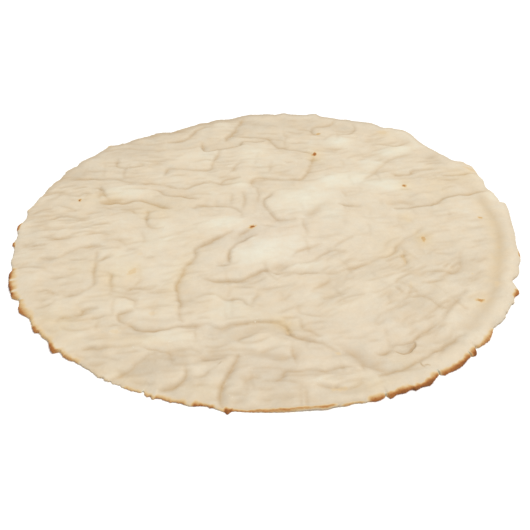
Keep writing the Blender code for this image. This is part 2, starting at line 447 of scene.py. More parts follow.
DEEP, FIRM, SOFT, FAINT = Crease.DEEP, Crease.FIRM, Crease.SOFT, Crease.FAINT
BROAD, WIDE, GROOVE = Crease.BROAD, Crease.WIDE, Crease.GROOVE
CRACK, SPLIT = Crease.CRACK, Crease.SPLIT

MIDDLE_FOLDS = (
    Fold(
        DEEP,
        ((-0.13, 0.01), (-0.19, -0.03), (-0.25, -0.08), (-0.28, -0.11), (-0.28, -0.17), (-0.31, -0.23))
        + ((-0.32, -0.3), (-0.335, -0.34), (-0.32, -0.41), (-0.31, -0.51), (-0.3, -0.56)),
    ),
    Fold(DEEP, ((-0.135, -0.21), (-0.15, -0.18), (-0.14, -0.11), (-0.1, -0.05), (-0.03, -0.01))),
    Fold(DEEP, ((-0.04, 0.06), (-0.06, 0.035), (-0.1, 0.0), (-0.11, -0.03)), 1.0),
    Fold(FIRM, ((-0.2, -0.225), (-0.17, -0.215), (-0.14, -0.21)), 1.0),
    Fold(
        DEEP,
        ((0.03, -0.255), (-0.02, -0.25), (-0.05, -0.275))
        + ((-0.11, -0.31), (-0.16, -0.31), (-0.25, -0.3)),
    ),
    Fold(FIRM, ((0.0, -0.25), (0.035, -0.272), (0.06, -0.26), (0.13, -0.265), (0.21, -0.265))),
    Fold(BROAD, ((0.1, -0.205), (0.05, -0.225), (0.0, -0.25)), 1.0),
    Fold(FIRM, ((0.41, -0.19), (0.35, -0.22), (0.29, -0.245), (0.24, -0.272), (0.2, -0.265)), 1.0),
    Fold(FIRM, ((0.23, -0.275), (0.23, -0.305), (0.2, -0.34), (0.17, -0.365), (0.165, -0.39))),
    Fold(FIRM, ((0.22, -0.075), (0.16, -0.105), (0.115, -0.135), (0.09, -0.18))),
    Fold(SOFT, ((0.31, -0.13), (0.25, -0.12), (0.22, -0.14), (0.18, -0.19), (0.12, -0.215)), 0.0),
    Fold(SOFT, ((0.11, -0.335), (0.05, -0.353), (-0.02, -0.365), (-0.04, -0.38))),
    Fold(FIRM, ((-0.19, -0.4), (-0.15, -0.425), (-0.1, -0.422), (-0.075, -0.45), (-0.05, -0.475)), 0.0),
    Fold(FIRM, ((-0.055, -0.46), (-0.045, -0.42), (-0.035, -0.38)), 0.0),
    Fold(
        FIRM,
        ((-0.1, 0.1), (-0.11, 0.15), (-0.15, 0.185), (-0.22, 0.195), (-0.28, 0.2), (-0.31, 0.17)),
        0.0,
    ),
    Fold(SOFT, ((-0.1, 0.14), (-0.095, 0.25), (-0.1, 0.31)), 0.0),
    Fold(SOFT, ((-0.145, 0.2), (-0.145, 0.29)), 0.0),
    Fold(SOFT, ((-0.07, 0.36), (-0.04, 0.32), (-0.035, 0.26), (-0.04, 0.21))),
    Fold(FIRM, ((0.12, 0.098), (0.05, 0.087), (0.02, 0.13), (-0.01, 0.19), (-0.01, 0.24), (0.03, 0.3))),
    Fold(SOFT, ((0.14, 0.1), (0.15, 0.05), (0.16, 0.0), (0.155, -0.05))),
    Fold(BROAD, ((0.27, 0.23), (0.22, 0.195), (0.19, 0.15), (0.15, 0.11))),
    Fold(FIRM, ((0.29, 0.21), (0.34, 0.2), (0.39, 0.19)), 0.0),
    Fold(SOFT, ((0.31, 0.32), (0.325, 0.29), (0.335, 0.25)), 1.0),
    Fold(SOFT, ((-0.05, 0.05), (0.0, 0.05), (0.04, 0.025)), 0.0),
    Fold(FAINT, ((0.33, -0.34), (0.27, -0.38), (0.2, -0.42)), 0.0),
    Fold(SOFT, ((0.11, -0.455), (0.117, -0.5), (0.158, -0.514), (0.215, -0.522))),
    Fold(SOFT, ((0.115, -0.52), (0.122, -0.58), (0.155, -0.598), (0.19, -0.635)), 0.0),
    Fold(FAINT, ((-0.5, 0.01), (-0.49, -0.04), (-0.485, -0.09)), 0.0),
    Fold(FAINT, ((-0.4, -0.163), (-0.44, -0.168), (-0.49, -0.165))),
)

LEFT_FOLDS = (
    Fold(
        DEEP,
        ((-0.39, 0.17), (-0.47, 0.21), (-0.54, 0.24), (-0.6, 0.22), (-0.64, 0.225), (-0.7, 0.215)),
        0.0,
    ),
    Fold(SOFT, ((-0.71, 0.17), (-0.67, 0.185), (-0.62, 0.165), (-0.56, 0.16), (-0.52, 0.11))),
    Fold(FIRM, ((-0.41, 0.025), (-0.45, 0.03), (-0.48, 0.05), (-0.49, 0.09), (-0.485, 0.17))),
    Fold(FIRM, ((-0.89, 0.285), (-0.85, 0.285), (-0.8, 0.275), (-0.77, 0.295), (-0.74, 0.28)), 0.0),
    Fold(FAINT, ((-0.94, 0.26), (-0.9, 0.255), (-0.86, 0.26)), 1.0),
    Fold(FIRM, ((-0.89, 0.185), (-0.86, 0.2), (-0.82, 0.185), (-0.78, 0.16)), 0.0),
    Fold(FIRM, ((-0.72, 0.115), (-0.77, 0.107), (-0.82, 0.125), (-0.87, 0.105), (-0.91, 0.09)), 0.0),
    Fold(FIRM, ((-0.98, 0.05), (-0.93, 0.05), (-0.88, 0.07)), 0.0),
    Fold(FIRM, ((-0.65, -0.08), (-0.71, -0.09), (-0.76, -0.12), (-0.81, -0.163), (-0.88, -0.165)), 1.0),
    Fold(
        FIRM,
        ((-0.76, -0.42), (-0.7, -0.39), (-0.645, -0.34))
        + ((-0.655, -0.25), (-0.65, -0.2), (-0.6, -0.14)),
        0.0,
    ),
    Fold(SOFT, ((-0.85, -0.48), (-0.8, -0.455), (-0.76, -0.42)), 0.0),
    Fold(SOFT, ((-0.575, -0.4), (-0.58, -0.3), (-0.6, -0.26), (-0.64, -0.255))),
    Fold(SOFT, ((-0.555, -0.1), (-0.57, -0.06), (-0.6, -0.048), (-0.65, -0.05)), 1.0),
    Fold(FIRM, ((-0.55, -0.135), (-0.53, -0.115), (-0.5, -0.113))),
    Fold(SOFT, ((-0.7, -0.24), (-0.73, -0.238), (-0.76, -0.245))),
    Fold(SOFT, ((-0.83, -0.305), (-0.78, -0.29), (-0.7, -0.3)), 0.0),
    Fold(SOFT, ((-0.86, -0.375), (-0.82, -0.365), (-0.775, -0.385)), 0.0),
    Fold(SOFT, ((-0.655, 0.24), (-0.68, 0.27), (-0.7, 0.325), (-0.75, 0.34))),
    Fold(FIRM, ((-0.5, 0.32), (-0.455, 0.31), (-0.43, 0.28), (-0.36, 0.268), (-0.28, 0.245))),
    Fold(FAINT, ((-0.74, -0.02), (-0.8, -0.04), (-0.87, -0.03), (-0.93, -0.035))),
    Fold(FAINT, ((-0.9, 0.02), (-0.82, 0.03), (-0.74, 0.05))),
    Fold(FAINT, ((-0.96, -0.09), (-0.92, -0.09), (-0.87, -0.07)), 0.0),
    Fold(FIRM, ((-0.58, -0.405), (-0.54, -0.405), (-0.5, -0.415), (-0.475, -0.435), (-0.48, -0.48))),
    Fold(FIRM, ((-0.48, -0.48), (-0.5, -0.49), (-0.53, -0.505), (-0.52, -0.54), (-0.49, -0.565))),
    Fold(SOFT, ((-0.4, -0.34), (-0.43, -0.365), (-0.46, -0.355), (-0.5, -0.357), (-0.52, -0.39))),
    Fold(FIRM, ((-0.465, -0.29), (-0.48, -0.33), (-0.5, -0.357))),
    Fold(FIRM, ((-0.6, -0.475), (-0.65, -0.475), (-0.67, -0.505), (-0.73, -0.52), (-0.75, -0.55))),
    Fold(FIRM, ((-0.545, -0.515), (-0.58, -0.515), (-0.63, -0.527))),
    Fold(SOFT, ((-0.56, -0.577), (-0.54, -0.57), (-0.51, -0.57))),
    Fold(SOFT, ((-0.61, -0.617), (-0.585, -0.605), (-0.55, -0.605)), 1.0),
    Fold(FAINT, ((-0.595, -0.53), (-0.6, -0.61))),
    Fold(FAINT, ((-0.62, -0.647), (-0.57, -0.64), (-0.52, -0.63)), 0.0),
)

FRONT_FOLDS = (
    Fold(
        DEEP,
        ((-0.5, -0.555), (-0.455, -0.585), (-0.42, -0.595))
        + ((-0.35, -0.585), (-0.29, -0.57), (-0.21, -0.565)),
        0.0,
    ),
    Fold(
        FIRM,
        ((0.07, -0.57), (0.02, -0.545), (-0.05, -0.55), (-0.13, -0.565))
        + ((-0.165, -0.585), (-0.21, -0.565), (-0.27, -0.57)),
        1.0,
    ),
    Fold(
        DEEP,
        ((0.25, -0.71), (0.21, -0.68), (0.17, -0.65), (0.11, -0.635))
        + ((0.08, -0.61), (0.06, -0.57), (0.03, -0.548)),
    ),
    Fold(FIRM, ((0.085, -0.64), (0.085, -0.69), (0.095, -0.77))),
    Fold(FIRM, ((-0.1, -0.66), (-0.085, -0.63), (-0.03, -0.608))),
    Fold(FAINT, ((-0.25, -0.57), (-0.25, -0.62), (-0.25, -0.67))),
    Fold(FIRM, ((-0.43, -0.66), (-0.48, -0.675), (-0.53, -0.678), (-0.58, -0.68), (-0.64, -0.69)), 1.0),
    Fold(
        FIRM,
        ((-0.45, -0.67), (-0.405, -0.688), (-0.345, -0.7), (-0.325, -0.73), (-0.32, -0.765)),
        0.0,
    ),
    Fold(FIRM, ((-0.22, -0.715), (-0.24, -0.695), (-0.285, -0.69), (-0.33, -0.705)), 1.0),
    Fold(DEEP, ((-0.275, -0.75), (-0.268, -0.8), (-0.275, -0.84), (-0.31, -0.87), (-0.36, -0.88))),
    Fold(FIRM, ((-0.26, -0.82), (-0.21, -0.82), (-0.18, -0.79), (-0.165, -0.77)), 1.0),
    Fold(BROAD, ((-0.26, -0.735), (-0.2, -0.74), (-0.13, -0.735)), 1.0),
    Fold(DEEP, ((-0.09, -0.71), (-0.12, -0.78), (-0.145, -0.86), (-0.15, -0.92), (-0.138, -0.985))),
    Fold(BROAD, ((0.09, -0.735), (0.0, -0.72), (-0.1, -0.71))),
    Fold(
        FIRM,
        ((0.01, -0.85), (0.05, -0.825), (0.07, -0.797))
        + ((0.19, -0.795), (0.25, -0.775), (0.3, -0.79)),
        0.0,
    ),
    Fold(SOFT, ((-0.02, -0.815), (-0.07, -0.845), (-0.085, -0.9)), 1.0),
    Fold(SOFT, ((-0.055, -0.89), (-0.08, -0.925), (-0.13, -0.935)), 1.0),
    Fold(SOFT, ((0.1, -0.9), (0.02, -0.922), (-0.05, -0.925))),
    Fold(FIRM, ((0.32, -0.852), (0.25, -0.882), (0.21, -0.875), (0.15, -0.865)), 1.0),
    Fold(
        BROAD,
        ((0.2, -0.655), (0.26, -0.68), (0.3, -0.72), (0.32, -0.76), (0.37, -0.79), (0.42, -0.8)),
    ),
    Fold(WIDE, ((0.235, -0.67), (0.275, -0.705), (0.31, -0.74), (0.35, -0.79)), 0.0),
    Fold(
        FIRM,
        ((-0.36, -0.705), (-0.4, -0.716), (-0.44, -0.76), (-0.465, -0.795), (-0.53, -0.84)),
        1.0,
    ),
    Fold(SOFT, ((-0.36, -0.855), (-0.41, -0.85), (-0.46, -0.84))),
    Fold(FIRM, ((-0.66, -0.71), (-0.63, -0.725), (-0.6, -0.735)), 0.0),
    Fold(SOFT, ((-0.61, -0.755), (-0.57, -0.762), (-0.54, -0.75))),
    Fold(SOFT, ((-0.56, -0.73), (-0.53, -0.735), (-0.49, -0.745))),
    Fold(FAINT, ((-0.77, -0.515), (-0.8, -0.51), (-0.83, -0.515))),
    Fold(FAINT, ((-0.73, -0.6), (-0.77, -0.585), (-0.8, -0.555)), 0.0),
    Fold(FAINT, ((-0.15, -0.635), (-0.19, -0.64), (-0.23, -0.635))),
)

RIGHT_FOLDS = (
    Fold(
        DEEP,
        ((0.52, 0.17), (0.58, 0.185), (0.65, 0.2), (0.7, 0.22))
        + ((0.76, 0.27), (0.85, 0.295), (0.94, 0.32)),
    ),
    Fold(BROAD, ((0.62, 0.21), (0.55, 0.225), (0.49, 0.21))),
    Fold(
        FIRM,
        ((0.63, 0.035), (0.55, -0.04), (0.5, -0.1), (0.485, -0.145))
        + ((0.44, -0.165), (0.41, -0.19), (0.37, -0.21)),
    ),
    Fold(FIRM, ((0.52, -0.225), (0.53, -0.19), (0.525, -0.15), (0.53, -0.11)), 0.0),
    Fold(
        FIRM,
        ((0.75, -0.115), (0.738, -0.19), (0.727, -0.235), (0.705, -0.258))
        + ((0.66, -0.246), (0.613, -0.25), (0.59, -0.26), (0.565, -0.29)),
    ),
    Fold(FAINT, ((0.56, -0.33), (0.61, -0.315), (0.67, -0.3))),
    Fold(FAINT, ((0.745, 0.11), (0.745, 0.17))),
    Fold(FAINT, ((0.75, -0.13), (0.7, -0.14), (0.64, -0.13))),
    Fold(FAINT, ((0.87, -0.03), (0.84, -0.05), (0.8, -0.06)), 0.0),
    Fold(
        GROOVE,
        ((0.673, -0.61), (0.724, -0.55), (0.789, -0.454), (0.826, -0.386), (0.861, -0.286))
        + ((0.889, -0.18), (0.908, -0.09), (0.924, 0.02), (0.922, 0.12), (0.9, 0.22), (0.895, 0.29)),
        0.0,
    ),
    Fold(
        DEEP,
        ((0.7, -0.6), (0.61, -0.67), (0.55, -0.715), (0.47, -0.775), (0.41, -0.8), (0.36, -0.825)),
        0.0,
    ),
    Fold(
        FIRM,
        ((0.42, -0.695), (0.44, -0.67), (0.5, -0.65), (0.53, -0.61), (0.58, -0.58), (0.62, -0.535)),
    ),
    Fold(FAINT, ((0.61, -0.55), (0.64, -0.5), (0.67, -0.45), (0.71, -0.41))),
    Fold(FAINT, ((0.59, -0.49), (0.54, -0.535), (0.49, -0.56))),
    Fold(FAINT, ((0.53, -0.33), (0.52, -0.39), (0.47, -0.455), (0.41, -0.505), (0.37, -0.56))),
    Fold(FAINT, ((0.67, -0.48), (0.614, -0.452), (0.571, -0.4), (0.505, -0.41))),
    Fold(DEEP, ((0.36, -0.7), (0.385, -0.715), (0.43, -0.69))),
    Fold(FAINT, ((0.45, -0.45), (0.44, -0.41), (0.46, -0.36)), 0.0),
    Fold(CRACK, ((0.43, -0.70), (0.455, -0.713), (0.475, -0.71), (0.49, -0.695)), 1.0),
    Fold(SPLIT, ((0.462, -0.716), (0.482, -0.706), (0.497, -0.685), (0.508, -0.65)), 1.0),
    Fold(CRACK, ((0.525, -0.785), (0.515, -0.77), (0.512, -0.745)), 0.0),
    Fold(CRACK, ((0.545, -0.778), (0.535, -0.77), (0.515, -0.775)), 0.0),
    Fold(CRACK, ((-0.17, -0.777), (-0.16, -0.765), (-0.153, -0.75)), 1.0),
)

BACK_FOLDS = (
    Fold(
        FIRM,
        ((-0.88, 0.42), (-0.75, 0.41), (-0.65, 0.41), (-0.6, 0.385), (-0.47, 0.365), (-0.36, 0.325))
        + ((-0.3, 0.36), (-0.25, 0.385), (-0.2, 0.365), (-0.18, 0.4), (-0.11, 0.42)),
        0.0,
    ),
    Fold(SOFT, ((-0.1, 0.55), (-0.13, 0.53), (-0.15, 0.47), (-0.17, 0.44))),
    Fold(FIRM, ((-0.67, 0.6), (-0.665, 0.52), (-0.62, 0.505), (-0.54, 0.52)), 0.0),
    Fold(
        FIRM,
        ((-0.2, 0.68), (-0.24, 0.53), (-0.26, 0.475), (-0.4, 0.495), (-0.44, 0.49), (-0.45, 0.41)),
    ),
    Fold(
        DEEP,
        ((-0.25, 0.9), (-0.3, 0.88), (-0.34, 0.83), (-0.36, 0.775), (-0.4, 0.745), (-0.46, 0.73)),
    ),
    Fold(SOFT, ((-0.61, 0.67), (-0.54, 0.66), (-0.47, 0.66)), 0.0),
    Fold(DEEP, ((-0.11, 0.97), (-0.135, 0.89), (-0.155, 0.83), (-0.18, 0.78), (-0.195, 0.73)), 1.0),
    Fold(
        DEEP,
        ((-0.3, 0.73), (-0.275, 0.65), (-0.21, 0.67), (-0.13, 0.7), (-0.1, 0.735), (0.0, 0.735)),
        1.0,
    ),
    Fold(
        FIRM,
        ((0.21, 0.622), (0.08, 0.67), (0.03, 0.71), (0.0, 0.77), (-0.05, 0.775), (-0.17, 0.79)),
        0.0,
    ),
    Fold(FIRM, ((0.21, 0.61), (0.2, 0.55), (0.165, 0.43), (0.1, 0.4), (-0.05, 0.41), (-0.06, 0.33))),
    Fold(SOFT, ((-0.13, 0.56), (-0.22, 0.55), (-0.28, 0.565), (-0.35, 0.54)), 0.0),
    Fold(FAINT, ((0.04, 0.5), (-0.03, 0.5), (-0.1, 0.505))),
    Fold(SOFT, ((0.07, 0.545), (0.13, 0.55)), 0.0),
    Fold(
        FIRM,
        ((0.25, 0.805), (0.22, 0.81), (0.21, 0.865), (0.27, 0.888), (0.31, 0.91), (0.32, 0.95)),
        0.0,
    ),
    Fold(SOFT, ((0.32, 0.8), (0.38, 0.81), (0.41, 0.85), (0.41, 0.91)), 1.0),
    Fold(SOFT, ((0.08, 0.87), (0.08, 0.8), (0.11, 0.76)), 0.0),
    Fold(SOFT, ((0.07, 0.73), (0.12, 0.715), (0.17, 0.73))),
    Fold(SOFT, ((0.37, 0.665), (0.3, 0.665), (0.24, 0.67))),
    Fold(SOFT, ((0.255, 0.74), (0.28, 0.77), (0.3, 0.8)), 1.0),
    Fold(SOFT, ((0.67, 0.62), (0.6, 0.605), (0.55, 0.57), (0.505, 0.51), (0.455, 0.44), (0.41, 0.39))),
    Fold(FIRM, ((0.76, 0.5), (0.65, 0.48), (0.62, 0.45), (0.58, 0.44), (0.535, 0.455))),
    Fold(FIRM, ((0.75, 0.44), (0.8, 0.44), (0.92, 0.46)), 0.0),
    Fold(SOFT, ((0.49, 0.71), (0.56, 0.7), (0.6, 0.7), (0.66, 0.735))),
    Fold(BROAD, ((0.77, 0.61), (0.74, 0.6), (0.7, 0.58)), 0.0),
    Fold(FAINT, ((-0.8, 0.5), (-0.76, 0.47), (-0.7, 0.47))),
)

NAMED_FOLDS = MIDDLE_FOLDS + LEFT_FOLDS + FRONT_FOLDS + RIGHT_FOLDS + BACK_FOLDS


@dataclass(frozen=True)
class Oval:
    """A leaning oval on the top, with the level of what it marks.

    Its place and half-sizes are in radii. Its lean is in degrees, counter-clockwise from +X.
    """

    place: tuple[float, float]
    half_size: tuple[float, float]
    level: float
    lean: float = 0.0

    def reach(self, places: np.ndarray) -> np.ndarray:
        """How far each place is from the oval's middle: 1 on the oval itself.

        Args:
            places: places in radii.

        Returns:
            Distance from the middle as a share of the oval's own.
        """
        x, y = (places - np.array(self.place)).T
        turn = math.radians(self.lean)
        along = (x * math.cos(turn) + y * math.sin(turn)) / self.half_size[0]
        across = (y * math.cos(turn) - x * math.sin(turn)) / self.half_size[1]
        return np.hypot(along, across)


class Swelling(Oval):
    """Dough that is puffed and lighter, at a level of about 1, or sunken and greyer, below 0.

    The lighter puffs are partly floured dough and partly painted highlight; the greyer hollows are
    painted shade.
    """


# Puffs rise lighter, partly floured and partly painted highlight; hollows sink with painted shade.
PUFFS = (
    Swelling((0.00, -0.11), (0.150, 0.095), 0.95, 14.0),
    Swelling((0.13, 0.235), (0.140, 0.085), 0.9, 22.0),
    Swelling((0.33, 0.40), (0.110, 0.060), 1.2, 16.0),
    Swelling((0.51, 0.355), (0.090, 0.050), 1.1, -6.0),
    Swelling((0.57, 0.64), (0.095, 0.045), 1.0, 22.0),
    Swelling((0.46, 0.52), (0.065, 0.050), 0.7, 20.0),
    Swelling((0.33, 0.73), (0.060, 0.045), 1.0, 10.0),
    Swelling((-0.05, 0.64), (0.065, 0.095), 0.5),
    Swelling((-0.30, 0.59), (0.060, 0.070), 0.4),
    Swelling((-0.24, 0.86), (0.080, 0.060), 0.3, 20.0),
    Swelling((-0.60, 0.30), (0.110, 0.045), 0.9, -6.0),
    Swelling((-0.17, 0.065), (0.095, 0.050), 1.2, 8.0),
    Swelling((-0.12, 0.36), (0.045, 0.035), 0.6),
    Swelling((0.23, 0.15), (0.090, 0.065), 0.5, 10.0),
    Swelling((-0.52, -0.45), (0.050, 0.030), 0.3),
    Swelling((-0.13, -0.47), (0.080, 0.060), 0.6),
    Swelling((-0.33, -0.625), (0.100, 0.032), 0.8, 4.0),
    Swelling((0.03, -0.65), (0.055, 0.045), 0.5, -30.0),
    Swelling((-0.26, -0.80), (0.060, 0.030), 0.5, 6.0),
    Swelling((0.20, -0.84), (0.055, 0.022), 0.6, 4.0),
    Swelling((0.79, 0.17), (0.110, 0.035), 0.4, 14.0),
    Swelling((0.95, 0.27), (0.035, 0.045), 0.9, 20.0),
    Swelling((0.15, -0.22), (0.075, 0.028), 0.8, 14.0),
    Swelling((-0.55, -0.82), (0.030, 0.016), 0.8, -20.0),
    Swelling((-0.57, 0.53), (0.070, 0.035), 0.4),
    Swelling((-0.42, -0.02), (0.060, 0.120), 0.3, -20.0),
    Swelling((-0.67, -0.20), (0.085, 0.040), 0.2, 10.0),
)
HOLLOWS = (
    Swelling((-0.13, -0.605), (0.130, 0.045), -0.6),
    Swelling((0.03, -0.585), (0.075, 0.025), -0.5),
    Swelling((-0.38, -0.78), (0.090, 0.065), -0.6, 10.0),
    Swelling((0.00, -0.83), (0.095, 0.075), -0.6, -20.0),
    Swelling((-0.84, 0.44), (0.100, 0.090), -0.6, 30.0),
    Swelling((0.33, 0.87), (0.090, 0.035), -0.5, -12.0),
    Swelling((0.00, 0.89), (0.140, 0.050), -0.5),
    Swelling((0.04, 0.09), (0.090, 0.030), -0.4),
    Swelling((-0.10, -0.08), (0.040, 0.060), -0.4, 30.0),
    Swelling((0.55, -0.46), (0.085, 0.060), -0.25, 40.0),
    Swelling((0.68, -0.62), (0.060, 0.090), -0.3, -45.0),
    Swelling((0.40, -0.73), (0.080, 0.030), -0.4, 20.0),
    Swelling((0.30, -0.725), (0.065, 0.040), -0.8, -35.0),
    Swelling((-0.31, -0.74), (0.045, 0.060), -0.6),
    Swelling((-0.60, 0.66), (0.140, 0.070), -0.7, 25.0),
    Swelling((0.10, 0.46), (0.070, 0.050), -0.2),
    Swelling((0.75, 0.60), (0.100, 0.060), -0.4, -35.0),
)
# Broad painted shade, darkest along the front, which also lowers the dough a little.
PAINTED_BROAD_SHADES = (
    Swelling((0.00, -0.90), (0.80, 0.26), -0.35),
    Swelling((-0.70, 0.60), (0.36, 0.22), -0.35, 38.0),
    Swelling((0.05, 0.90), (0.50, 0.16), -0.25),
    Swelling((0.62, -0.35), (0.36, 0.30), -0.20, 30.0),
    Swelling((0.76, 0.05), (0.26, 0.36), -0.30),
    Swelling((0.05, 0.12), (0.36, 0.22), -0.15),
)


class Speck(Oval):
    """A toasted mark, with a level of 1 where it is dark brown."""


SPECKS = (
    Speck((0.215, 0.615), (0.0070, 0.0080), 0.72),
    Speck((0.583, 0.345), (0.0070, 0.0058), 0.54, -35.0),
    Speck((0.617, -0.042), (0.0066, 0.0150), 0.34),
    Speck((0.773, -0.426), (0.0105, 0.0058), 0.46, 14.0),
    Speck((-0.058, 0.040), (0.0095, 0.0036), 0.80, 22.0),
    Speck((-0.785, 0.238), (0.0030, 0.0042), 0.80),
    Speck((0.240, 0.805), (0.0100, 0.0040), 0.32),
    Speck((0.870, 0.110), (0.0080, 0.0040), 0.30),
    Speck((0.772, -0.265), (0.0020, 0.0022), 0.14),
    Speck((0.288, 0.243), (0.0020, 0.0024), 0.10),
    Speck((0.570, 0.090), (0.0090, 0.0120), 0.07),
    Speck((0.527, -0.175), (0.0050, 0.0280), 0.08, 4.0),
    Speck((0.532, -0.335), (0.0050, 0.0180), 0.07),
    Speck((-0.507, -0.262), (0.0110, 0.0190), 0.13, -35.0),
    Speck((0.054, -0.561), (0.0300, 0.0130), 0.07, -25.0),
    Speck((0.540, 0.820), (0.0220, 0.0130), 0.10, -20.0),
    Speck((0.890, 0.490), (0.0260, 0.0100), 0.12, -35.0),
    Speck((-0.530, -0.604), (0.0150, 0.0085), 0.09, -8.0),
    Speck((0.078, -0.598), (0.0130, 0.0070), 0.09, -50.0),
    Speck((0.238, -0.712), (0.0100, 0.0045), 0.11, -10.0),
    Speck((0.853, -0.325), (0.0080, 0.0180), 0.08, -15.0),
    Speck((0.240, -0.880), (0.0260, 0.0050), 0.11, 4.0),
    Speck((-0.330, -0.475), (0.0080, 0.0140), 0.06),
    Speck((-0.490, -0.150), (0.0110, 0.0080), 0.08, 20.0),
    Speck((-0.408, -0.504), (0.0140, 0.0085), 0.08, 10.0),
)


class Tint(Oval):
    """Dough that is more golden, up to a level of 1, or cooler, down to -1."""


TINTS = (
    Tint((0.72, 0.34), (0.060, 0.100), 0.35),
    Tint((0.617, -0.042), (0.035, 0.055), 0.90),
    Tint((0.567, 0.10), (0.025, 0.040), 0.50),
    Tint((0.527, -0.18), (0.030, 0.070), 0.25),
    Tint((0.47, -0.08), (0.050, 0.100), 0.30),
    Tint((0.215, 0.60), (0.035, 0.060), 0.70),
    Tint((0.59, 0.35), (0.035, 0.050), 0.60),
    Tint((0.54, 0.80), (0.040, 0.040), 0.40),
    Tint((0.86, 0.44), (0.070, 0.070), 0.50),
    Tint((0.905, 0.10), (0.220, 0.035), 0.45, 92.0),
    Tint((0.87, -0.20), (0.160, 0.035), 0.45, 75.0),
    Tint((0.77, -0.43), (0.040, 0.040), 0.50),
    Tint((-0.505, -0.26), (0.035, 0.055), 0.65),
    Tint((0.055, -0.56), (0.060, 0.035), 0.80, -25.0),
    Tint((-0.32, -0.25), (0.200, 0.040), 0.40, 80.0),
    Tint((-0.68, 0.26), (0.100, 0.050), 0.40),
    Tint((-0.45, 0.17), (0.100, 0.080), 0.45),
    Tint((-0.58, -0.30), (0.050, 0.120), 0.50),
    Tint((-0.69, -0.24), (0.060, 0.060), 0.30),
    Tint((-0.44, -0.65), (0.120, 0.030), 0.30),
    Tint((-0.74, -0.55), (0.080, 0.080), 0.60),
    Tint((-0.48, -0.83), (0.100, 0.040), 0.35, -30.0),
    Tint((-0.20, -0.88), (0.080, 0.040), 0.35),
    Tint((0.34, -0.86), (0.080, 0.040), 0.50, 10.0),
    Tint((0.45, -0.74), (0.050, 0.060), 0.40),
    Tint((0.03, -0.04), (0.220, 0.220), -0.80),
    Tint((0.03, -0.76), (0.300, 0.140), -0.40),
    Tint((0.38, -0.60), (0.260, 0.140), -0.35),
    Tint((-0.25, -0.57), (0.120, 0.050), -0.40),
)


@dataclass(frozen=True)
class WrinklePatch:
    """A part of the top whose fine wrinkles run one way.

    Its place and reach are in radii and its lean in degrees; the amount scales their depth.
    """

    place: tuple[float, float]
    reach: float
    lean: float
    amount: float


WRINKLE_PATCHES = (
    WrinklePatch((-0.80, 0.05), 0.34, 9.0, 1.15),
    WrinklePatch((-0.62, 0.50), 0.26, 5.0, 0.80),
    WrinklePatch((-0.15, 0.62), 0.28, 4.0, 0.70),
    WrinklePatch((0.20, 0.86), 0.26, -4.0, 0.90),
    WrinklePatch((0.55, 0.62), 0.28, 16.0, 0.80),
    WrinklePatch((0.78, 0.10), 0.26, 18.0, 0.50),
    WrinklePatch((0.58, -0.42), 0.32, 40.0, 0.95),
    WrinklePatch((0.28, -0.30), 0.24, 34.0, 0.85),
    WrinklePatch((-0.38, -0.12), 0.24, 22.0, 0.40),
    WrinklePatch((-0.58, -0.55), 0.28, 6.0, 0.85),
    WrinklePatch((-0.10, -0.78), 0.30, 8.0, 0.85),
    WrinklePatch((0.40, -0.80), 0.26, 14.0, 0.75),
    WrinklePatch((0.05, 0.05), 0.26, 15.0, 0.35),
    WrinklePatch((0.42, 0.17), 0.18, 12.0, 0.30),
)


@dataclass(frozen=True)
class Swell:
    """Random swells all over the dough: their pitch and rise in metres, and how much lighter they are.

    Raised parts are lighter and sunken parts greyer: partly floured dough, partly painted light
    and shade.
    """

    pitch: float
    rise: float
    flour_and_painted_light: float


@dataclass
class Pressing:
    """What the folds do at each spot, gathered fold by fold.

    The depth and the overlap are in metres. How dark each spot is along a crease, partly staining
    and partly painted shade, how much painted shade lies beside the folds, and how calm each spot is
    are shares from about 0 to 1.
    """

    depth: np.ndarray
    overlap: np.ndarray
    sharp: np.ndarray
    shade: np.ndarray
    calm: np.ndarray


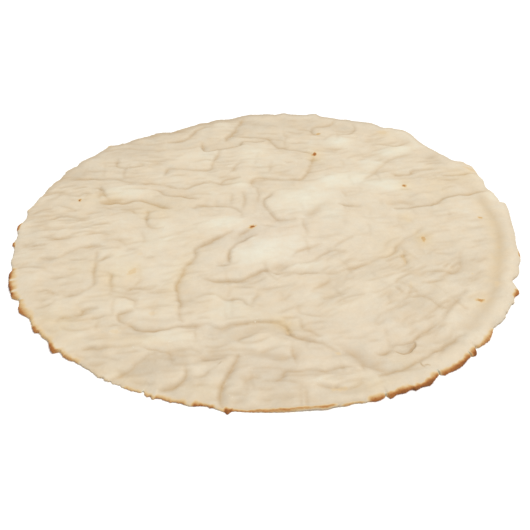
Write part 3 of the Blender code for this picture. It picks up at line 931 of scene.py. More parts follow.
class Relief:
    """The shape of the crust's top: dome, swells, puffs, rim, folds and wrinkles."""

    BODY = 3.3 * MM
    EDGE = 2.0 * MM
    LEAST = 0.7 * MM
    DOME = 0.8 * MM
    EDGE_SLOPE = 14.0 * MM
    EDGE_LIFTS = (
        Lobe(278.0, 1.1 * MM, 7.0, 6.0),
        Lobe(265.0, -0.8 * MM, 4.0, 4.0),
        Lobe(240.0, -0.5 * MM, 6.0, 8.0),
        Lobe(201.0, 0.4 * MM, 7.0, 5.0),
        Lobe(222.5, 0.6 * MM, 3.0, 1.5),
        Lobe(296.0, 0.3 * MM, 5.0, 5.0),
    )
    # Painted shade along the edge, strongest at the far side: where, how far in, and how dark.
    EDGE_SHADES = (Lobe(105.0, 2.0, 60.0, 60.0), Lobe(285.0, 0.9, 70.0, 60.0))
    EDGE_SHADE_REACH = 1.9 * MM
    FAR_SHADE_REACH = Lobe(105.0, 2.8 * MM, 60.0, 60.0)
    EDGE_CREASE_SHADE = 0.35
    RIM_RISE = 1.0 * MM
    RIM_PLACE = 0.965
    RIM_WIDTH = 0.032
    RIM_SIDE = (-62.0, 32.0)
    RIM_BACK = (40.0, 84.0)
    RIM_FADE = 12.0
    RIM_CALM = 0.75
    PUFF_RISE = 0.5 * MM
    PUFF_CALM = 0.6
    SWELL_SEED = 3
    SWELLS = (
        Swell(42.0 * MM, 0.30 * MM, 0.20),
        Swell(16.0 * MM, 0.22 * MM, 0.26),
        Swell(6.0 * MM, 0.08 * MM, 0.12),
    )

    # The named folds: where they lie, how they fade and how they darken the dough, partly by staining
    # and partly by painted shade.
    FOLD_ORIGIN = np.array((0.0, -0.0175))
    FOLD_SCALE = np.array((0.997, 0.993))
    FOLD_REACH = 3.2
    FLANK_END = 2.0
    FLANK_FADE = 0.7
    FOLD_FADE = 7.0 * MM
    TAPER_POWER = 0.6
    LINE_SHARE = 0.45
    BLEND_POWER = 3.0
    OVERLAP_RISE = 0.60
    OVERLAP_TURN = 1.1 * MM
    CORE_SHARE = 0.5
    CORE_WIDTH = 0.6
    # Painted shade beside each fold: its reach, wider on the lower side, and how much it greys the
    # dough.
    SHADE_REACH = 8.0 * MM
    SHADE_STRETCH = 0.5
    SHADE_POWER = 1.3
    SHADE_LEVEL = 0.55
    SHADE_STEP = 0.7
    SHADE_GREY = 0.55
    CALM_WIDTH = 1.5
    STEP = 0.9 * MM
    CURVE_STEPS = 10
    WOBBLE = 0.9 * MM
    WOBBLE_WIDTH = 1.4 * MM
    WOBBLE_NOISE = (6.5 * MM, 3.1 * MM, 0.5)
    MOST_CREASED = 1.4
    UNEVEN = ((0.5, 9.0 * MM), (0.4, 24.0 * MM))

    # The small crinkles: each runs the way of its patch, or now and then nearly across it.
    CRINKLE_COUNT = 640
    CRINKLE_SEED = 21
    CRINKLE_SPAN = 0.95
    CRINKLE_TURN = 100.0
    CROSSWISE_TURN = 75.0
    CROSSWISE_FROM = 0.90
    CRINKLE_LENGTHS = (0.05, 0.09)
    CRINKLE_BEND = 0.35
    CRINKLE_DEPTHS = (0.16, 0.27)
    CRINKLE_STEPS = 9
    CRINKLE_REACH = 4.0 * MM
    CRINKLE_FADE = 0.5 * FOLD_FADE
    CRINKLE_WIDTH = 1.15 * MM
    CRINKLE_STAIN_AND_SHADE = 1.5
    AMOUNT_POWER = 0.6

    # The finest wrinkles: pitch and depth in metres, and the width of a line.
    WRINKLE_PITCHES = (
        (11.0 * MM, 0.40 * MM, 0.18),
        (5.6 * MM, 0.27 * MM, 0.24),
        (3.4 * MM, 0.12 * MM, 0.28),
    )
    WRINKLE_LENGTH = 3.0
    WRINKLE_STAIN_AND_SHADE = 0.85
    LONG_BEND = 5.0 * MM
    LONG_PITCHES = (30.0 * MM, 27.0 * MM)
    SHORT_BEND = 1.4 * MM
    SHORT_PITCHES = (8.0 * MM, 9.0 * MM)
    PATCHY_PITCH = 36.0 * MM
    SLANT_FROM = 30.0

    def __init__(self, radius: float, outline: Outline) -> None:
        """Lays out the folds.

        Args:
            radius: the crust's radius in metres.
            outline: the crust's edge.
        """
        self.radius = radius
        self.outline = outline
        self.swell = Grain(self.SWELL_SEED)
        self.folds = [(fold, self.line(fold)) for fold in NAMED_FOLDS]
        self.crinkles = [self.crinkle(draw) for draw in self.crinkle_draws()]

    def placed(self, points: Points) -> np.ndarray:
        """Places in metres of points given in radii from the folds' middle."""
        return (np.array(points) * self.FOLD_SCALE + self.FOLD_ORIGIN) * self.radius

    def in_radii(self, spots: np.ndarray) -> np.ndarray:
        """Places in metres as points in radii from the folds' middle."""
        return (spots / self.radius - self.FOLD_ORIGIN) / self.FOLD_SCALE

    def line(self, fold: Fold) -> np.ndarray:
        """Even points, in metres, along the smooth line of a fold.

        Args:
            fold: the fold.

        Returns:
            An array of X and Y places.
        """
        knots = self.placed(fold.points)
        knots = np.vstack((2 * knots[0] - knots[1], knots, 2 * knots[-1] - knots[-2]))
        share = np.linspace(0.0, 1.0, self.CURVE_STEPS, endpoint=False)[:, None]
        stretches = []
        for before, start, end, after in zip(knots, knots[1:], knots[2:], knots[3:]):
            stretches.append(
                0.5 * (
                    2 * start
                    + (end - before) * share
                    + (2 * before - 5 * start + 4 * end - after) * share**2
                    + (3 * start - before - 3 * end + after) * share**3
                )
            )
        curve = np.vstack(stretches + [knots[-2:-1]])
        travelled = np.concatenate(([0.0], np.cumsum(np.hypot(*np.diff(curve, axis=0).T))))
        stops = np.linspace(0.0, travelled[-1], max(4, round(travelled[-1] / self.STEP)))
        path = np.stack([np.interp(stops, travelled, curve[:, axis]) for axis in (0, 1)], axis=1)
        wobble = self.swell.layered(path, *self.WOBBLE_NOISE)
        amount = self.WOBBLE * self.wobble_share(fold.crease.line)
        return path + amount * wobble[:, None] * left_of(path)

    def wobble_share(self, width: float) -> float:
        """How much of the wobble a line of this half-width takes: cracks and grooves take less."""
        return min(width, self.WOBBLE_WIDTH) ** 2 / (width * self.WOBBLE_WIDTH)

    def patch_shares(self, spots: np.ndarray) -> np.ndarray:
        """How much each patch of wrinkles holds at each spot.

        Args:
            spots: places in metres.

        Returns:
            Shares from 0 to 1, a row for each patch.
        """
        unit = self.in_radii(spots)
        shares = []
        for patch in WRINKLE_PATCHES:
            shares.append(bell(np.hypot(*(unit - np.array(patch.place)).T), patch.reach))
        return np.array(shares)

    def slant(self, spots: np.ndarray) -> np.ndarray:
        """How much of the fine wrinkling runs aslant at each spot.

        Args:
            spots: places in metres.

        Returns:
            Shares from 0 to 1.
        """
        shares = self.patch_shares(spots) ** 2
        steep = np.array([patch.lean > self.SLANT_FROM for patch in WRINKLE_PATCHES], float)
        return steep @ shares / shares.sum(axis=0)

    def crinkle_draws(self) -> Iterable[np.ndarray]:
        """Random numbers for each small crinkle: its place, direction, length, bend and depth."""
        return np.random.default_rng(self.CRINKLE_SEED).uniform(0.0, 1.0, (self.CRINKLE_COUNT, 6))

    def crinkle(self, draw: np.ndarray) -> tuple[float, np.ndarray]:
        """One small crinkle of the dough, which runs the way its patch does, or nearly across.

        Args:
            draw: six numbers from 0 to 1.

        Returns:
            The crinkle's depth in metres and the places along it.
        """
        reach = self.CRINKLE_SPAN * self.radius * math.sqrt(draw[0])
        bearing = 2.0 * math.pi * draw[1]
        place = np.array((reach * math.cos(bearing), reach * math.sin(bearing)))
        patch = WRINKLE_PATCHES[int(np.argmax(self.patch_shares(place[None, :])))]
        crosswise = self.CROSSWISE_TURN if draw[2] > self.CROSSWISE_FROM else 0.0
        lean = math.radians(patch.lean + crosswise + self.CRINKLE_TURN * (draw[2] % 0.25 - 0.125))
        shortest, longer = self.CRINKLE_LENGTHS
        length = (shortest + longer * draw[3]) * self.radius
        bend = (draw[4] - 0.5) * self.CRINKLE_BEND * length
        along = np.array((math.cos(lean), math.sin(lean)))
        across = np.array((-along[1], along[0]))
        share = np.linspace(-0.5, 0.5, self.CRINKLE_STEPS)[:, None]
        path = place + along * share * length + across * bend * (1.0 - 4.0 * share**2)
        shallowest, deeper = self.CRINKLE_DEPTHS
        return (shallowest + deeper * draw[5]) * MM * patch.amount**self.AMOUNT_POWER, path

    def beside(self, spots: np.ndarray, line: np.ndarray, reach: float) -> tuple[np.ndarray, ...]:
        """Where each nearby spot lies beside a line.

        Args:
            spots: places in metres.
            line: places along the line.
            reach: distance in metres beyond which spots are left out.

        Returns:
            Indices of the nearby spots, their distances (positive on the line's left), and
            how far they are along the line from its nearer end, all in metres.
        """
        low, high = line.min(axis=0) - reach, line.max(axis=0) + reach
        near = np.flatnonzero(((spots > low) & (spots < high)).all(axis=1))
        gap = np.full(len(near), np.inf)
        side = np.ones(len(near))
        along = np.zeros(len(near))
        places = spots[near]
        runs = np.diff(line, axis=0)
        lengths = np.hypot(*runs.T)
        starts = np.concatenate(([0.0], np.cumsum(lengths)))
        for start, run, length, passed in zip(line, runs, lengths, starts):
            offset = places - start
            share = np.clip(offset @ run / length**2, 0.0, 1.0)
            distance = np.hypot(*(offset - share[:, None] * run).T)
            closer = distance < gap
            gap[closer] = distance[closer]
            side[closer] = np.sign(run[0] * offset[closer, 1] - run[1] * offset[closer, 0])
            along[closer] = passed + share[closer] * length
        return near, gap * side, np.minimum(along, starts[-1] - along)

    def press(
        self, pressing: Pressing, spots: np.ndarray, uneven: np.ndarray, fold: Fold, line: np.ndarray
    ) -> None:
        """Presses one fold into the dough, with a darker line along it and painted shade beside it.

        The line's darkness is partly staining and partly painted shade.

        Args:
            pressing: what the folds do so far, which this one adds to.
            spots: places in metres.
            uneven: how strongly a fold shows at each spot.
            fold: the fold.
            line: places along it.
        """
        crease = fold.crease
        near, offset, to_end = self.beside(spots, line, self.FOLD_REACH * crease.flank)
        gap = np.abs(offset)
        taper = np.clip(to_end / self.FOLD_FADE, 0.0, 1.0) ** self.TAPER_POWER
        strength = uneven[near] ** (1.0 - crease.evenness) * taper
        past_flank = np.maximum(gap - self.FLANK_END * crease.flank, 0.0)
        strength = strength * bell(past_flank, self.FLANK_FADE * crease.flank)
        mark = bell(gap, crease.line)
        flanks = np.exp(-gap / crease.flank)
        profile = self.LINE_SHARE * mark + (1.0 - self.LINE_SHARE) * flanks
        pressing.depth[near] += (crease.depth * strength * profile) ** self.BLEND_POWER
        lower = np.tanh(offset / self.OVERLAP_TURN) * fold.step
        pressing.overlap[near] += self.OVERLAP_RISE * crease.depth * strength * lower * flanks
        core = bell(gap, self.CORE_WIDTH * crease.line)
        stain_and_shade = self.CORE_SHARE * core + (1.0 - self.CORE_SHARE) * mark
        raise_to(pressing.sharp, near, crease.stain_and_shade * strength * stain_and_shade)
        soft = gap / self.SHADE_REACH / (1.0 + self.SHADE_STRETCH * lower)
        soft = np.exp(-(soft**self.SHADE_POWER)) * (1.0 - crease.evenness)
        shaded = crease.stain_and_shade * strength * (self.SHADE_LEVEL + self.SHADE_STEP * lower)
        raise_to(pressing.shade, near, shaded * soft)
        raise_to(pressing.calm, near, crease.evenness * bell(gap, self.CALM_WIDTH * crease.line))

    def crinkled(self, spots: np.ndarray) -> np.ndarray:
        """How far the small crinkles draw the top down.

        Args:
            spots: places in metres.

        Returns:
            The depth at each spot, in metres.
        """
        depth = np.zeros(len(spots))
        for size, line in self.crinkles:
            near, offset, to_end = self.beside(spots, line, self.CRINKLE_REACH)
            strength = np.clip(to_end / self.CRINKLE_FADE, 0.0, 1.0)
            raise_to(depth, near, size * strength * bell(offset, self.CRINKLE_WIDTH))
        return depth

    def valleys(self, spots: np.ndarray, calm: np.ndarray) -> tuple[np.ndarray, ...]:
        """How far the folds, crinkles and wrinkles draw the top down.

        Args:
            spots: places in metres.
            calm: how smooth the dough is between its folds, from 0 to 1.

        Returns:
            The depth in metres, how dark each spot is along the creases, partly staining and partly
            painted shade, and how much painted shade lies beside the folds, from 0 to 1.
        """
        pressing = Pressing(*(np.zeros(len(spots)) for _ in range(4)), calm.copy())
        uneven = np.ones(len(spots))
        for share, pitch in self.UNEVEN:
            uneven = uneven + share * self.swell.at(*spots.T, pitch)
        uneven = np.maximum(uneven, 0.0)
        for fold, line in self.folds:
            self.press(pressing, spots, uneven, fold, line)
        open_share = 1.0 - pressing.calm
        small = self.crinkled(spots) * open_share
        fine, lines = (level * open_share for level in self.wrinkles(spots))
        depth = pressing.depth ** (1.0 / self.BLEND_POWER) + small + fine + pressing.overlap
        crease_stain_and_shade = pressing.sharp + self.CRINKLE_STAIN_AND_SHADE * small / MM + lines
        return depth, np.clip(crease_stain_and_shade, 0.0, self.MOST_CREASED), pressing.shade

    def wrinkles(self, spots: np.ndarray) -> tuple[np.ndarray, np.ndarray]:
        """Fine wrinkles, which run the way of each patch.

        Args:
            spots: places in metres.

        Returns:
            Their depth in metres, and how dark they make each spot, partly staining and partly
            painted shade, from 0 to 1.
        """
        x, y = spots.T
        bent_x = x + self.LONG_BEND * self.swell.at(x, y, self.LONG_PITCHES[0])
        bent_x = bent_x + self.SHORT_BEND * self.swell.at(y, x, self.SHORT_PITCHES[0])
        bent_y = y + self.LONG_BEND * self.swell.at(y, x, self.LONG_PITCHES[1])
        bent_y = bent_y + self.SHORT_BEND * self.swell.at(x, y, self.SHORT_PITCHES[1])
        shares = self.patch_shares(spots)
        shares = shares**2 / (shares**2).sum(axis=0)
        depth = np.zeros(len(spots))
        lines = np.zeros(len(spots))
        patchy = 0.35 + 0.65 * ease(0.5 + 0.9 * self.swell.at(x, y, self.PATCHY_PITCH))
        for share, patch in zip(shares, WRINKLE_PATCHES):
            lean = math.radians(patch.lean)
            along = bent_x * math.cos(lean) + bent_y * math.sin(lean)
            across = bent_y * math.cos(lean) - bent_x * math.sin(lean)
            for pitch, size, width in self.WRINKLE_PITCHES:
                level = self.swell.at(along / self.WRINKLE_LENGTH, across, pitch)
                valley = bell(level, width) * share * patch.amount * patchy
                depth = depth + size * valley
                lines = lines + self.WRINKLE_STAIN_AND_SHADE * size / MM * valley
        return depth, lines

    def swelling(self, spots: np.ndarray) -> np.ndarray:
        """How far the puffs and hollows swell the dough.

        Args:
            spots: places in metres.

        Returns:
            Levels from 1, puffed and lighter, partly floured and partly painted highlight, to -1,
            sunken and greyer with painted shade.
        """
        unit = self.in_radii(spots)
        flour_and_painted_light = np.zeros(len(spots))
        for swelling in PUFFS + HOLLOWS + PAINTED_BROAD_SHADES:
            flour_and_painted_light = flour_and_painted_light + swelling.level * np.exp(-(swelling.reach(unit) ** 3))
        return flour_and_painted_light

    def warmth(self, spots: np.ndarray) -> np.ndarray:
        """How golden each spot is, or how cool where it is below 0."""
        unit = self.in_radii(spots)
        return sum(tint.level * bell(tint.reach(unit), 1.0) for tint in TINTS)

    def rim(self, bearing: np.ndarray, place: np.ndarray) -> np.ndarray:
        """The rise of the rim, in metres.

        Args:
            bearing: bearings in degrees, from -180 to 180.
            place: distance from the middle as a share of the edge's distance.

        Returns:
            The rise at each spot.
        """
        strength = np.zeros(len(bearing))
        for start, end in (self.RIM_SIDE, self.RIM_BACK):
            outside = np.clip(np.maximum(start - bearing, bearing - end), 0.0, None)
            strength = np.maximum(strength, bell(outside, self.RIM_FADE))
        return self.RIM_RISE * strength * bell(place - self.RIM_PLACE, self.RIM_WIDTH)

    def painted_edge_shade(self, bearing: np.ndarray, inward: np.ndarray) -> np.ndarray:
        """How much painted shade greys the top towards its edge, apart from the pale slits.

        Args:
            bearing: bearings in degrees.
            inward: distances in from the edge, in metres.

        Returns:
            How much painted shade each spot has, from 0 upwards.
        """
        reach = self.EDGE_SHADE_REACH + self.FAR_SHADE_REACH.at(bearing)
        painted_shade_grey = bell(inward, reach) * sum(lobe.at(bearing) for lobe in self.EDGE_SHADES)
        return painted_shade_grey * (1.0 - self.outline.slit_share(bearing))

    def surface(self, spots: np.ndarray) -> tuple[np.ndarray, np.ndarray, np.ndarray]:
        """The top's height and what shows on it.

        Args:
            spots: places in metres.

        Returns:
            Heights in metres, how dark each spot is along creases and at the edge, partly staining
            and partly painted shade, from 0 to 1, and how light it is, partly floured and partly
            painted light and shade, from -1, greyer, to 1, white.
        """
        x, y = spots.T
        bearing = np.degrees(np.arctan2(y, x))
        from_middle = np.hypot(x, y)
        edge = self.outline.smooth(bearing) * self.radius
        place = from_middle / edge
        flour_and_painted_light = self.swelling(spots)
        rim = self.rim(bearing, place)
        calm = np.maximum(self.PUFF_CALM * ease(flour_and_painted_light), self.RIM_CALM * rim / self.RIM_RISE)
        valleys, sharp, shade = self.valleys(spots, calm)
        axes = ((x, y), (y, x), (x, y))
        levels = [self.swell.at(*pair, swell.pitch) for pair, swell in zip(axes, self.SWELLS)]
        swells = sum(swell.rise * level for swell, level in zip(self.SWELLS, levels))
        lift = sum(lobe.at(bearing) for lobe in self.EDGE_LIFTS)
        slope = 1.0 - ease((edge - from_middle) / self.EDGE_SLOPE)
        slope = (self.BODY - self.EDGE - lift) * slope
        body = self.BODY + self.DOME * (1.0 - place**2) + swells - slope
        heights = body + self.PUFF_RISE * flour_and_painted_light + rim - valleys
        # Painted shade along the edge.
        outer_shade = self.painted_edge_shade(bearing, edge - from_middle)
        # Painted shade at the edge and beside folds greys the dough; swells get lighter, partly painted
        # light.
        flour_and_painted_light = flour_and_painted_light - outer_shade - self.SHADE_GREY * shade
        for swell, level in zip(self.SWELLS, levels):
            flour_and_painted_light = flour_and_painted_light + swell.flour_and_painted_light * level
        return np.maximum(heights, self.LEAST), sharp + self.EDGE_CREASE_SHADE * outer_shade, flour_and_painted_light


@dataclass
class Value:
    """A shader socket that adds Math nodes when it is used in an expression."""

    graph: "Graph"
    socket: bpy.types.NodeSocket

    def math(self, operation: str, *terms: Union["Value", float]) -> "Value":
        """A Math node on these terms.

        Args:
            operation: the Math node's operation.
            terms: its inputs, in order.

        Returns:
            The result.
        """
        return self.graph.node("ShaderNodeMath", {"operation": operation}, dict(enumerate(terms)))

    def __add__(self, other: Union["Value", float]) -> "Value":
        """The sum."""
        return self.math("ADD", self, other)

    def __sub__(self, other: Union["Value", float]) -> "Value":
        """The difference."""
        return self.math("SUBTRACT", self, other)

    def __rsub__(self, other: float) -> "Value":
        """The difference, taken from a number."""
        return self.math("SUBTRACT", other, self)

    def __mul__(self, other: Union["Value", float]) -> "Value":
        """The product."""
        return self.math("MULTIPLY", self, other)

    __radd__ = __add__
    __rmul__ = __mul__

    def off(self, level: float) -> "Value":
        """How far the value is from a level, above or below it."""
        return self.math("ABSOLUTE", self - level)

    def between(self, low: float, high: float) -> "Value":
        """Rises smoothly from 0 to 1.

        Args:
            low: where it starts to rise.
            high: where it reaches 1.

        Returns:
            The result.
        """
        settings = {"interpolation_type": "SMOOTHSTEP"}
        inputs = {"Value": self, "From Min": low, "From Max": high}
        return self.graph.node("ShaderNodeMapRange", settings, inputs)


class Graph:
    """Builds one material's nodes."""

    COLOUR_IN = (6, 7)
    COLOUR_OUT = 2

    def __init__(self, name: str) -> None:
        """Starts a material.

        Args:
            name: the material's name.
        """
        self.material = bpy.data.materials.new(name)
        self.material.use_nodes = True
        self.tree = self.material.node_tree
        self.shader = self.tree.nodes["Principled BSDF"]

    def set_input(self, socket: bpy.types.NodeSocket, content: Any) -> None:
        """Links a value to a socket, or sets the socket to a plain number or colour.

        Args:
            socket: the socket.
            content: a value, a number, a colour or a vector.
        """
        if isinstance(content, Value):
            self.tree.links.new(content.socket, socket)
        else:
            socket.default_value = content

    def node(self, kind: str, settings: dict, inputs: dict, output: Union[int, str] = 0) -> Value:
        """Adds a node.

        Args:
            kind: the node's type.
            settings: its properties; "stops" gives a ramp's places and colours.
            inputs: values or links by socket name or number.
            output: which output to use.

        Returns:
            The chosen output.
        """
        made = self.tree.nodes.new(kind)
        for name, setting in settings.items():
            if name == "stops":
                self.set_stops(made.color_ramp, setting)
            else:
                setattr(made, name, setting)
        for key, content in inputs.items():
            self.set_input(made.inputs[key], content)
        return Value(self, made.outputs[output])

    def set_stops(self, ramp: bpy.types.ColorRamp, stops: Iterable[tuple[float, Any]]) -> None:
        """Sets a ramp's stops.

        Args:
            ramp: the ramp.
            stops: the place and the colour of each stop.
        """
        for index, (place, colour) in enumerate(stops):
            stop = ramp.elements[index] if index < 2 else ramp.elements.new(place)
            stop.position = place
            stop.color = colour

    def mix(self, factor: Union[Value, float], first: Any, second: Any, blend: str = "MIX") -> Value:
        """Mixes two colours.

        Args:
            factor: share of the second colour.
            first: first colour.
            second: second colour.
            blend: the Mix node's blend type.

        Returns:
            The mixed colour.
        """
        settings = {"data_type": "RGBA", "blend_type": blend}
        inputs = {0: factor, self.COLOUR_IN[0]: first, self.COLOUR_IN[1]: second}
        return self.node("ShaderNodeMix", settings, inputs, self.COLOUR_OUT)

    def ramp(self, level: Value, *stops: tuple[float, Any]) -> Value:
        """Colours read from a ramp.

        Args:
            level: where along the ramp to read.
            stops: the place and the colour of each stop.

        Returns:
            The colour.
        """
        return self.node("ShaderNodeValToRGB", {"stops": stops}, {"Fac": level})

    def place(self) -> Value:
        """The place on the piece, in metres."""
        return self.node("ShaderNodeTexCoord", {}, {}, "Object")

    def attribute(self, name: str) -> Value:
        """A number stored on the mesh."""
        return self.node("ShaderNodeAttribute", {"attribute_name": name}, {}, "Fac")

    def noise(self, pitch: float, detail: float, roughness: float) -> Value:
        """Lumpy noise.

        Args:
            pitch: distance between lumps in metres.
            detail: how many finer layers it has.
            roughness: how strong the finer layers are.

        Returns:
            A level from 0 to 1.
        """
        inputs = {"Vector": self.place(), "Scale": 1.0 / pitch}
        inputs |= {"Detail": detail, "Roughness": roughness}
        return self.node("ShaderNodeTexNoise", {}, inputs)

    def streaks(self, pitch: float, length: float, lean: float) -> Value:
        """Noise drawn out along a lean.

        Args:
            pitch: distance between streaks in metres.
            length: how many pitches long a streak is.
            lean: the streaks' lean in degrees, counter-clockwise from +X.

        Returns:
            A level from 0 to 1.
        """
        inputs = {
            "Vector": self.place(),
            "Rotation": (0.0, 0.0, math.radians(lean)),
            "Scale": (length * pitch, pitch, pitch),
        }
        drawn = self.node("ShaderNodeMapping", {"vector_type": "TEXTURE"}, inputs)
        inputs = {"Vector": drawn, "Scale": 1.0}
        inputs |= {"Detail": 1.5, "Roughness": 0.5, "Distortion": 0.35}
        return self.node("ShaderNodeTexNoise", {}, inputs)

    def dress(self, surface: dict) -> bpy.types.Material:
        """Sets the shader's own sockets.

        Args:
            surface: a value, a number or a colour for each socket's name.

        Returns:
            The finished material.
        """
        for name, content in surface.items():
            self.set_input(self.shader.inputs[name], content)
        return self.material


@dataclass(frozen=True)
class BakedDough:
    """Dry pale dough: lighter puffs, greyer hollows, darker creases and toasted marks.

    The puffs are partly floured and partly painted highlight, the hollows painted shade, and the
    creases partly staining and partly painted shade.
    """

    # Greyest colour painted shade; whitest partly a floured look and partly painted highlight.
    painted_shade_grey: tuple = linear(193, 178.5, 155.5)
    pale: tuple = linear(210.3, 196.6, 173.2)
    floury_and_painted_light: tuple = linear(216, 211.5, 192)
    # The crease colour: partly a browner staining and partly painted shade.
    crease: tuple = linear(175, 150, 115)
    flake: tuple = linear(226, 222, 208)
    gold: tuple = linear(211, 190, 156)
    tan: tuple = linear(198, 170, 125)
    orange: tuple = linear(183, 139, 88)
    brown: tuple = linear(157, 97, 44)
    dark: tuple = linear(101, 58, 27)
    roughness: float = 0.82
    toasted_gloss: float = 0.12
    specular: float = 0.22
    mottle_pitch: float = 6.0 * MM
    fine_pitch: float = 1.3 * MM
    flake_pitch: float = 0.8 * MM
    grain_pitch: float = 2.6 * MM
    grain_depth: float = 0.10 * MM
    cooler: tuple = (0.42, 0.51, 0.58, 1.0)
    warmer: tuple = (0.58, 0.49, 0.42, 1.0)
    hue_pitch: float = 9.0 * MM
    hue_spread: float = 0.08
    cool: tuple = (0.497, 0.50, 0.514, 1.0)
    even: tuple = (0.50, 0.50, 0.50, 1.0)
    golden: tuple = (0.510, 0.480, 0.438, 1.0)
    tint_spread: float = 0.5
    hairline_pitch: float = 5.0 * MM
    hairline_length: float = 3.5
    hairline_width: float = 0.085
    hairline_patches: float = 14.0 * MM
    hairline_stain_and_shade: float = 0.06
    straight_lean: float = 8.0
    slant_lean: float = 44.0

    def material(self) -> bpy.types.Material:
        """Builds the material.

        Returns:
            The material.
        """
        graph = Graph("baked_dough")
        mottle = graph.noise(self.mottle_pitch, 3.0, 0.6)
        fine = graph.noise(self.fine_pitch, 3.0, 0.65)
        hairlines = self.hairlines(graph)
        dough = self.tinted(graph, self.plain(graph, mottle, fine, hairlines), mottle)
        toast = graph.attribute("toast")
        level = toast * (0.70 + 0.60 * mottle) + (fine - 0.5) * 0.30 * toast.between(0.02, 0.35)
        browned = graph.ramp(
            level,
            (0.04, self.gold),
            (0.22, self.tan),
            (0.44, self.orange),
            (0.70, self.brown),
            (0.97, self.dark),
        )
        relief = 0.55 * graph.noise(self.grain_pitch, 4.0, 0.6) + 0.45 * fine - 0.20 * hairlines
        bump = {"Height": relief, "Distance": self.grain_depth, "Strength": 1.0}
        surface = {
            "Base Color": graph.mix(level.between(0.01, 0.17), dough, browned),
            "Roughness": self.roughness - self.toasted_gloss * level.between(0.2, 0.8),
            "Normal": graph.node("ShaderNodeBump", {}, bump),
            "Specular IOR Level": self.specular,
        }
        return graph.dress(surface)

    def plain(self, graph: Graph, mottle: Value, fine: Value, hairlines: Value) -> Value:
        """The untoasted dough: greyer to lighter, darker along its creases, with small white flakes.

        Its greyer end is painted shade and its lighter end partly floured and partly painted highlight;
        the creases are partly staining and partly painted shade.

        Args:
            graph: the material's nodes.
            mottle: broad noise.
            fine: fine noise.
            hairlines: one along the finest wrinkles.

        Returns:
            The colour.
        """
        tone = 0.5 + 0.32 * graph.attribute("flour_and_painted_light") + 0.45 * (mottle - 0.5) + 0.30 * (fine - 0.5)
        dough = graph.ramp(tone, (0.0, self.painted_shade_grey), (0.5, self.pale), (1.0, self.floury_and_painted_light))
        # Darker along the creases and hairlines: partly staining, partly painted shade.
        crease_stain_and_shade = graph.attribute("crease") * (0.32 + 0.45 * mottle)
        dough = graph.mix(crease_stain_and_shade + self.hairline_stain_and_shade * hairlines, dough, self.crease)
        flakes = graph.noise(self.flake_pitch, 2.0, 0.6).between(0.62, 0.72)
        return graph.mix(flakes * mottle.between(0.58, 0.70) * 0.5, dough, self.flake)

    def tinted(self, graph: Graph, dough: Value, mottle: Value) -> Value:
        """Dough that wanders between cooler and warmer, and turns golden or cool in places.

        Args:
            graph: the material's nodes.
            dough: the dough's colour.
            mottle: broad noise.

        Returns:
            The colour.
        """
        wander = graph.noise(self.hue_pitch, 4.0, 0.7)
        hues = graph.ramp(wander, (0.30, self.cooler), (0.70, self.warmer))
        dough = graph.mix(self.hue_spread, dough, hues, "LINEAR_LIGHT")
        warmth = 0.5 + graph.attribute("warmth") * (0.1 + 0.8 * mottle)
        tints = graph.ramp(warmth, (0.0, self.cool), (0.5, self.even), (1.0, self.golden))
        return graph.mix(self.tint_spread, dough, tints, "LINEAR_LIGHT")

    def hairlines(self, graph: Graph) -> Value:
        """The finest wrinkles, which run across the crust and aslant on its near right.

        Args:
            graph: the material's nodes.

        Returns:
            One along the wrinkles, falling to 0 beside them.
        """
        level = graph.streaks(self.hairline_pitch, self.hairline_length, self.straight_lean)
        aslant = graph.streaks(self.hairline_pitch, self.hairline_length, self.slant_lean)
        level = level + graph.attribute("slant") * (aslant - level)
        shown = graph.noise(self.hairline_patches, 2.0, 0.5).between(0.40, 0.60)
        return shown * (1.0 - level.off(0.5).between(0.0, self.hairline_width))


@dataclass(frozen=True)
class StudioFloor:
    """Plain pale matt floor."""

    colour: tuple = (0.95, 0.95, 0.95, 1.0)
    roughness: float = 0.9

    def material(self) -> bpy.types.Material:
        """Builds the material.

        Returns:
            The material.
        """
        graph = Graph("studio_floor")
        return graph.dress({"Base Color": self.colour, "Roughness": self.roughness})


@dataclass(frozen=True)
class ToastedStretch:
    """A browned stretch of the edge, from one bearing to another in degrees.

    Its tone is 1 at the darkest, and its reach inward and its fade past both ends are in metres
    and degrees. A firmness of 1 fades evenly and 4 ends in a firm border. Its side keeps that
    share of the tone down to the underside.
    """

    start: float
    end: float
    tone: float
    reach: float
    fade: float
    firmness: float
    side: float = 0.7

    TURN_DOWN = 1.7

    def at(self, bearing: np.ndarray, inward: np.ndarray, down: np.ndarray) -> np.ndarray:
        """How toasted this stretch makes each place.

        Args:
            bearing: bearings in degrees.
            inward: distances in from the edge, as a share of the stretch's reach.
            down: how far down the side each place is, from 0 to 1.

        Returns:
            Tones from 0 to the stretch's own.
        """
        middle = (self.start + self.end) / 2.0
        past_end = np.abs(turn_between(bearing, middle)) - (self.end - self.start) / 2.0
        strength = self.tone * bell(np.clip(past_end, 0.0, None), self.fade)
        band = strength * np.exp(-(inward**self.firmness))
        return band * (1.0 - (1.0 - self.side) * ease(self.TURN_DOWN * down))


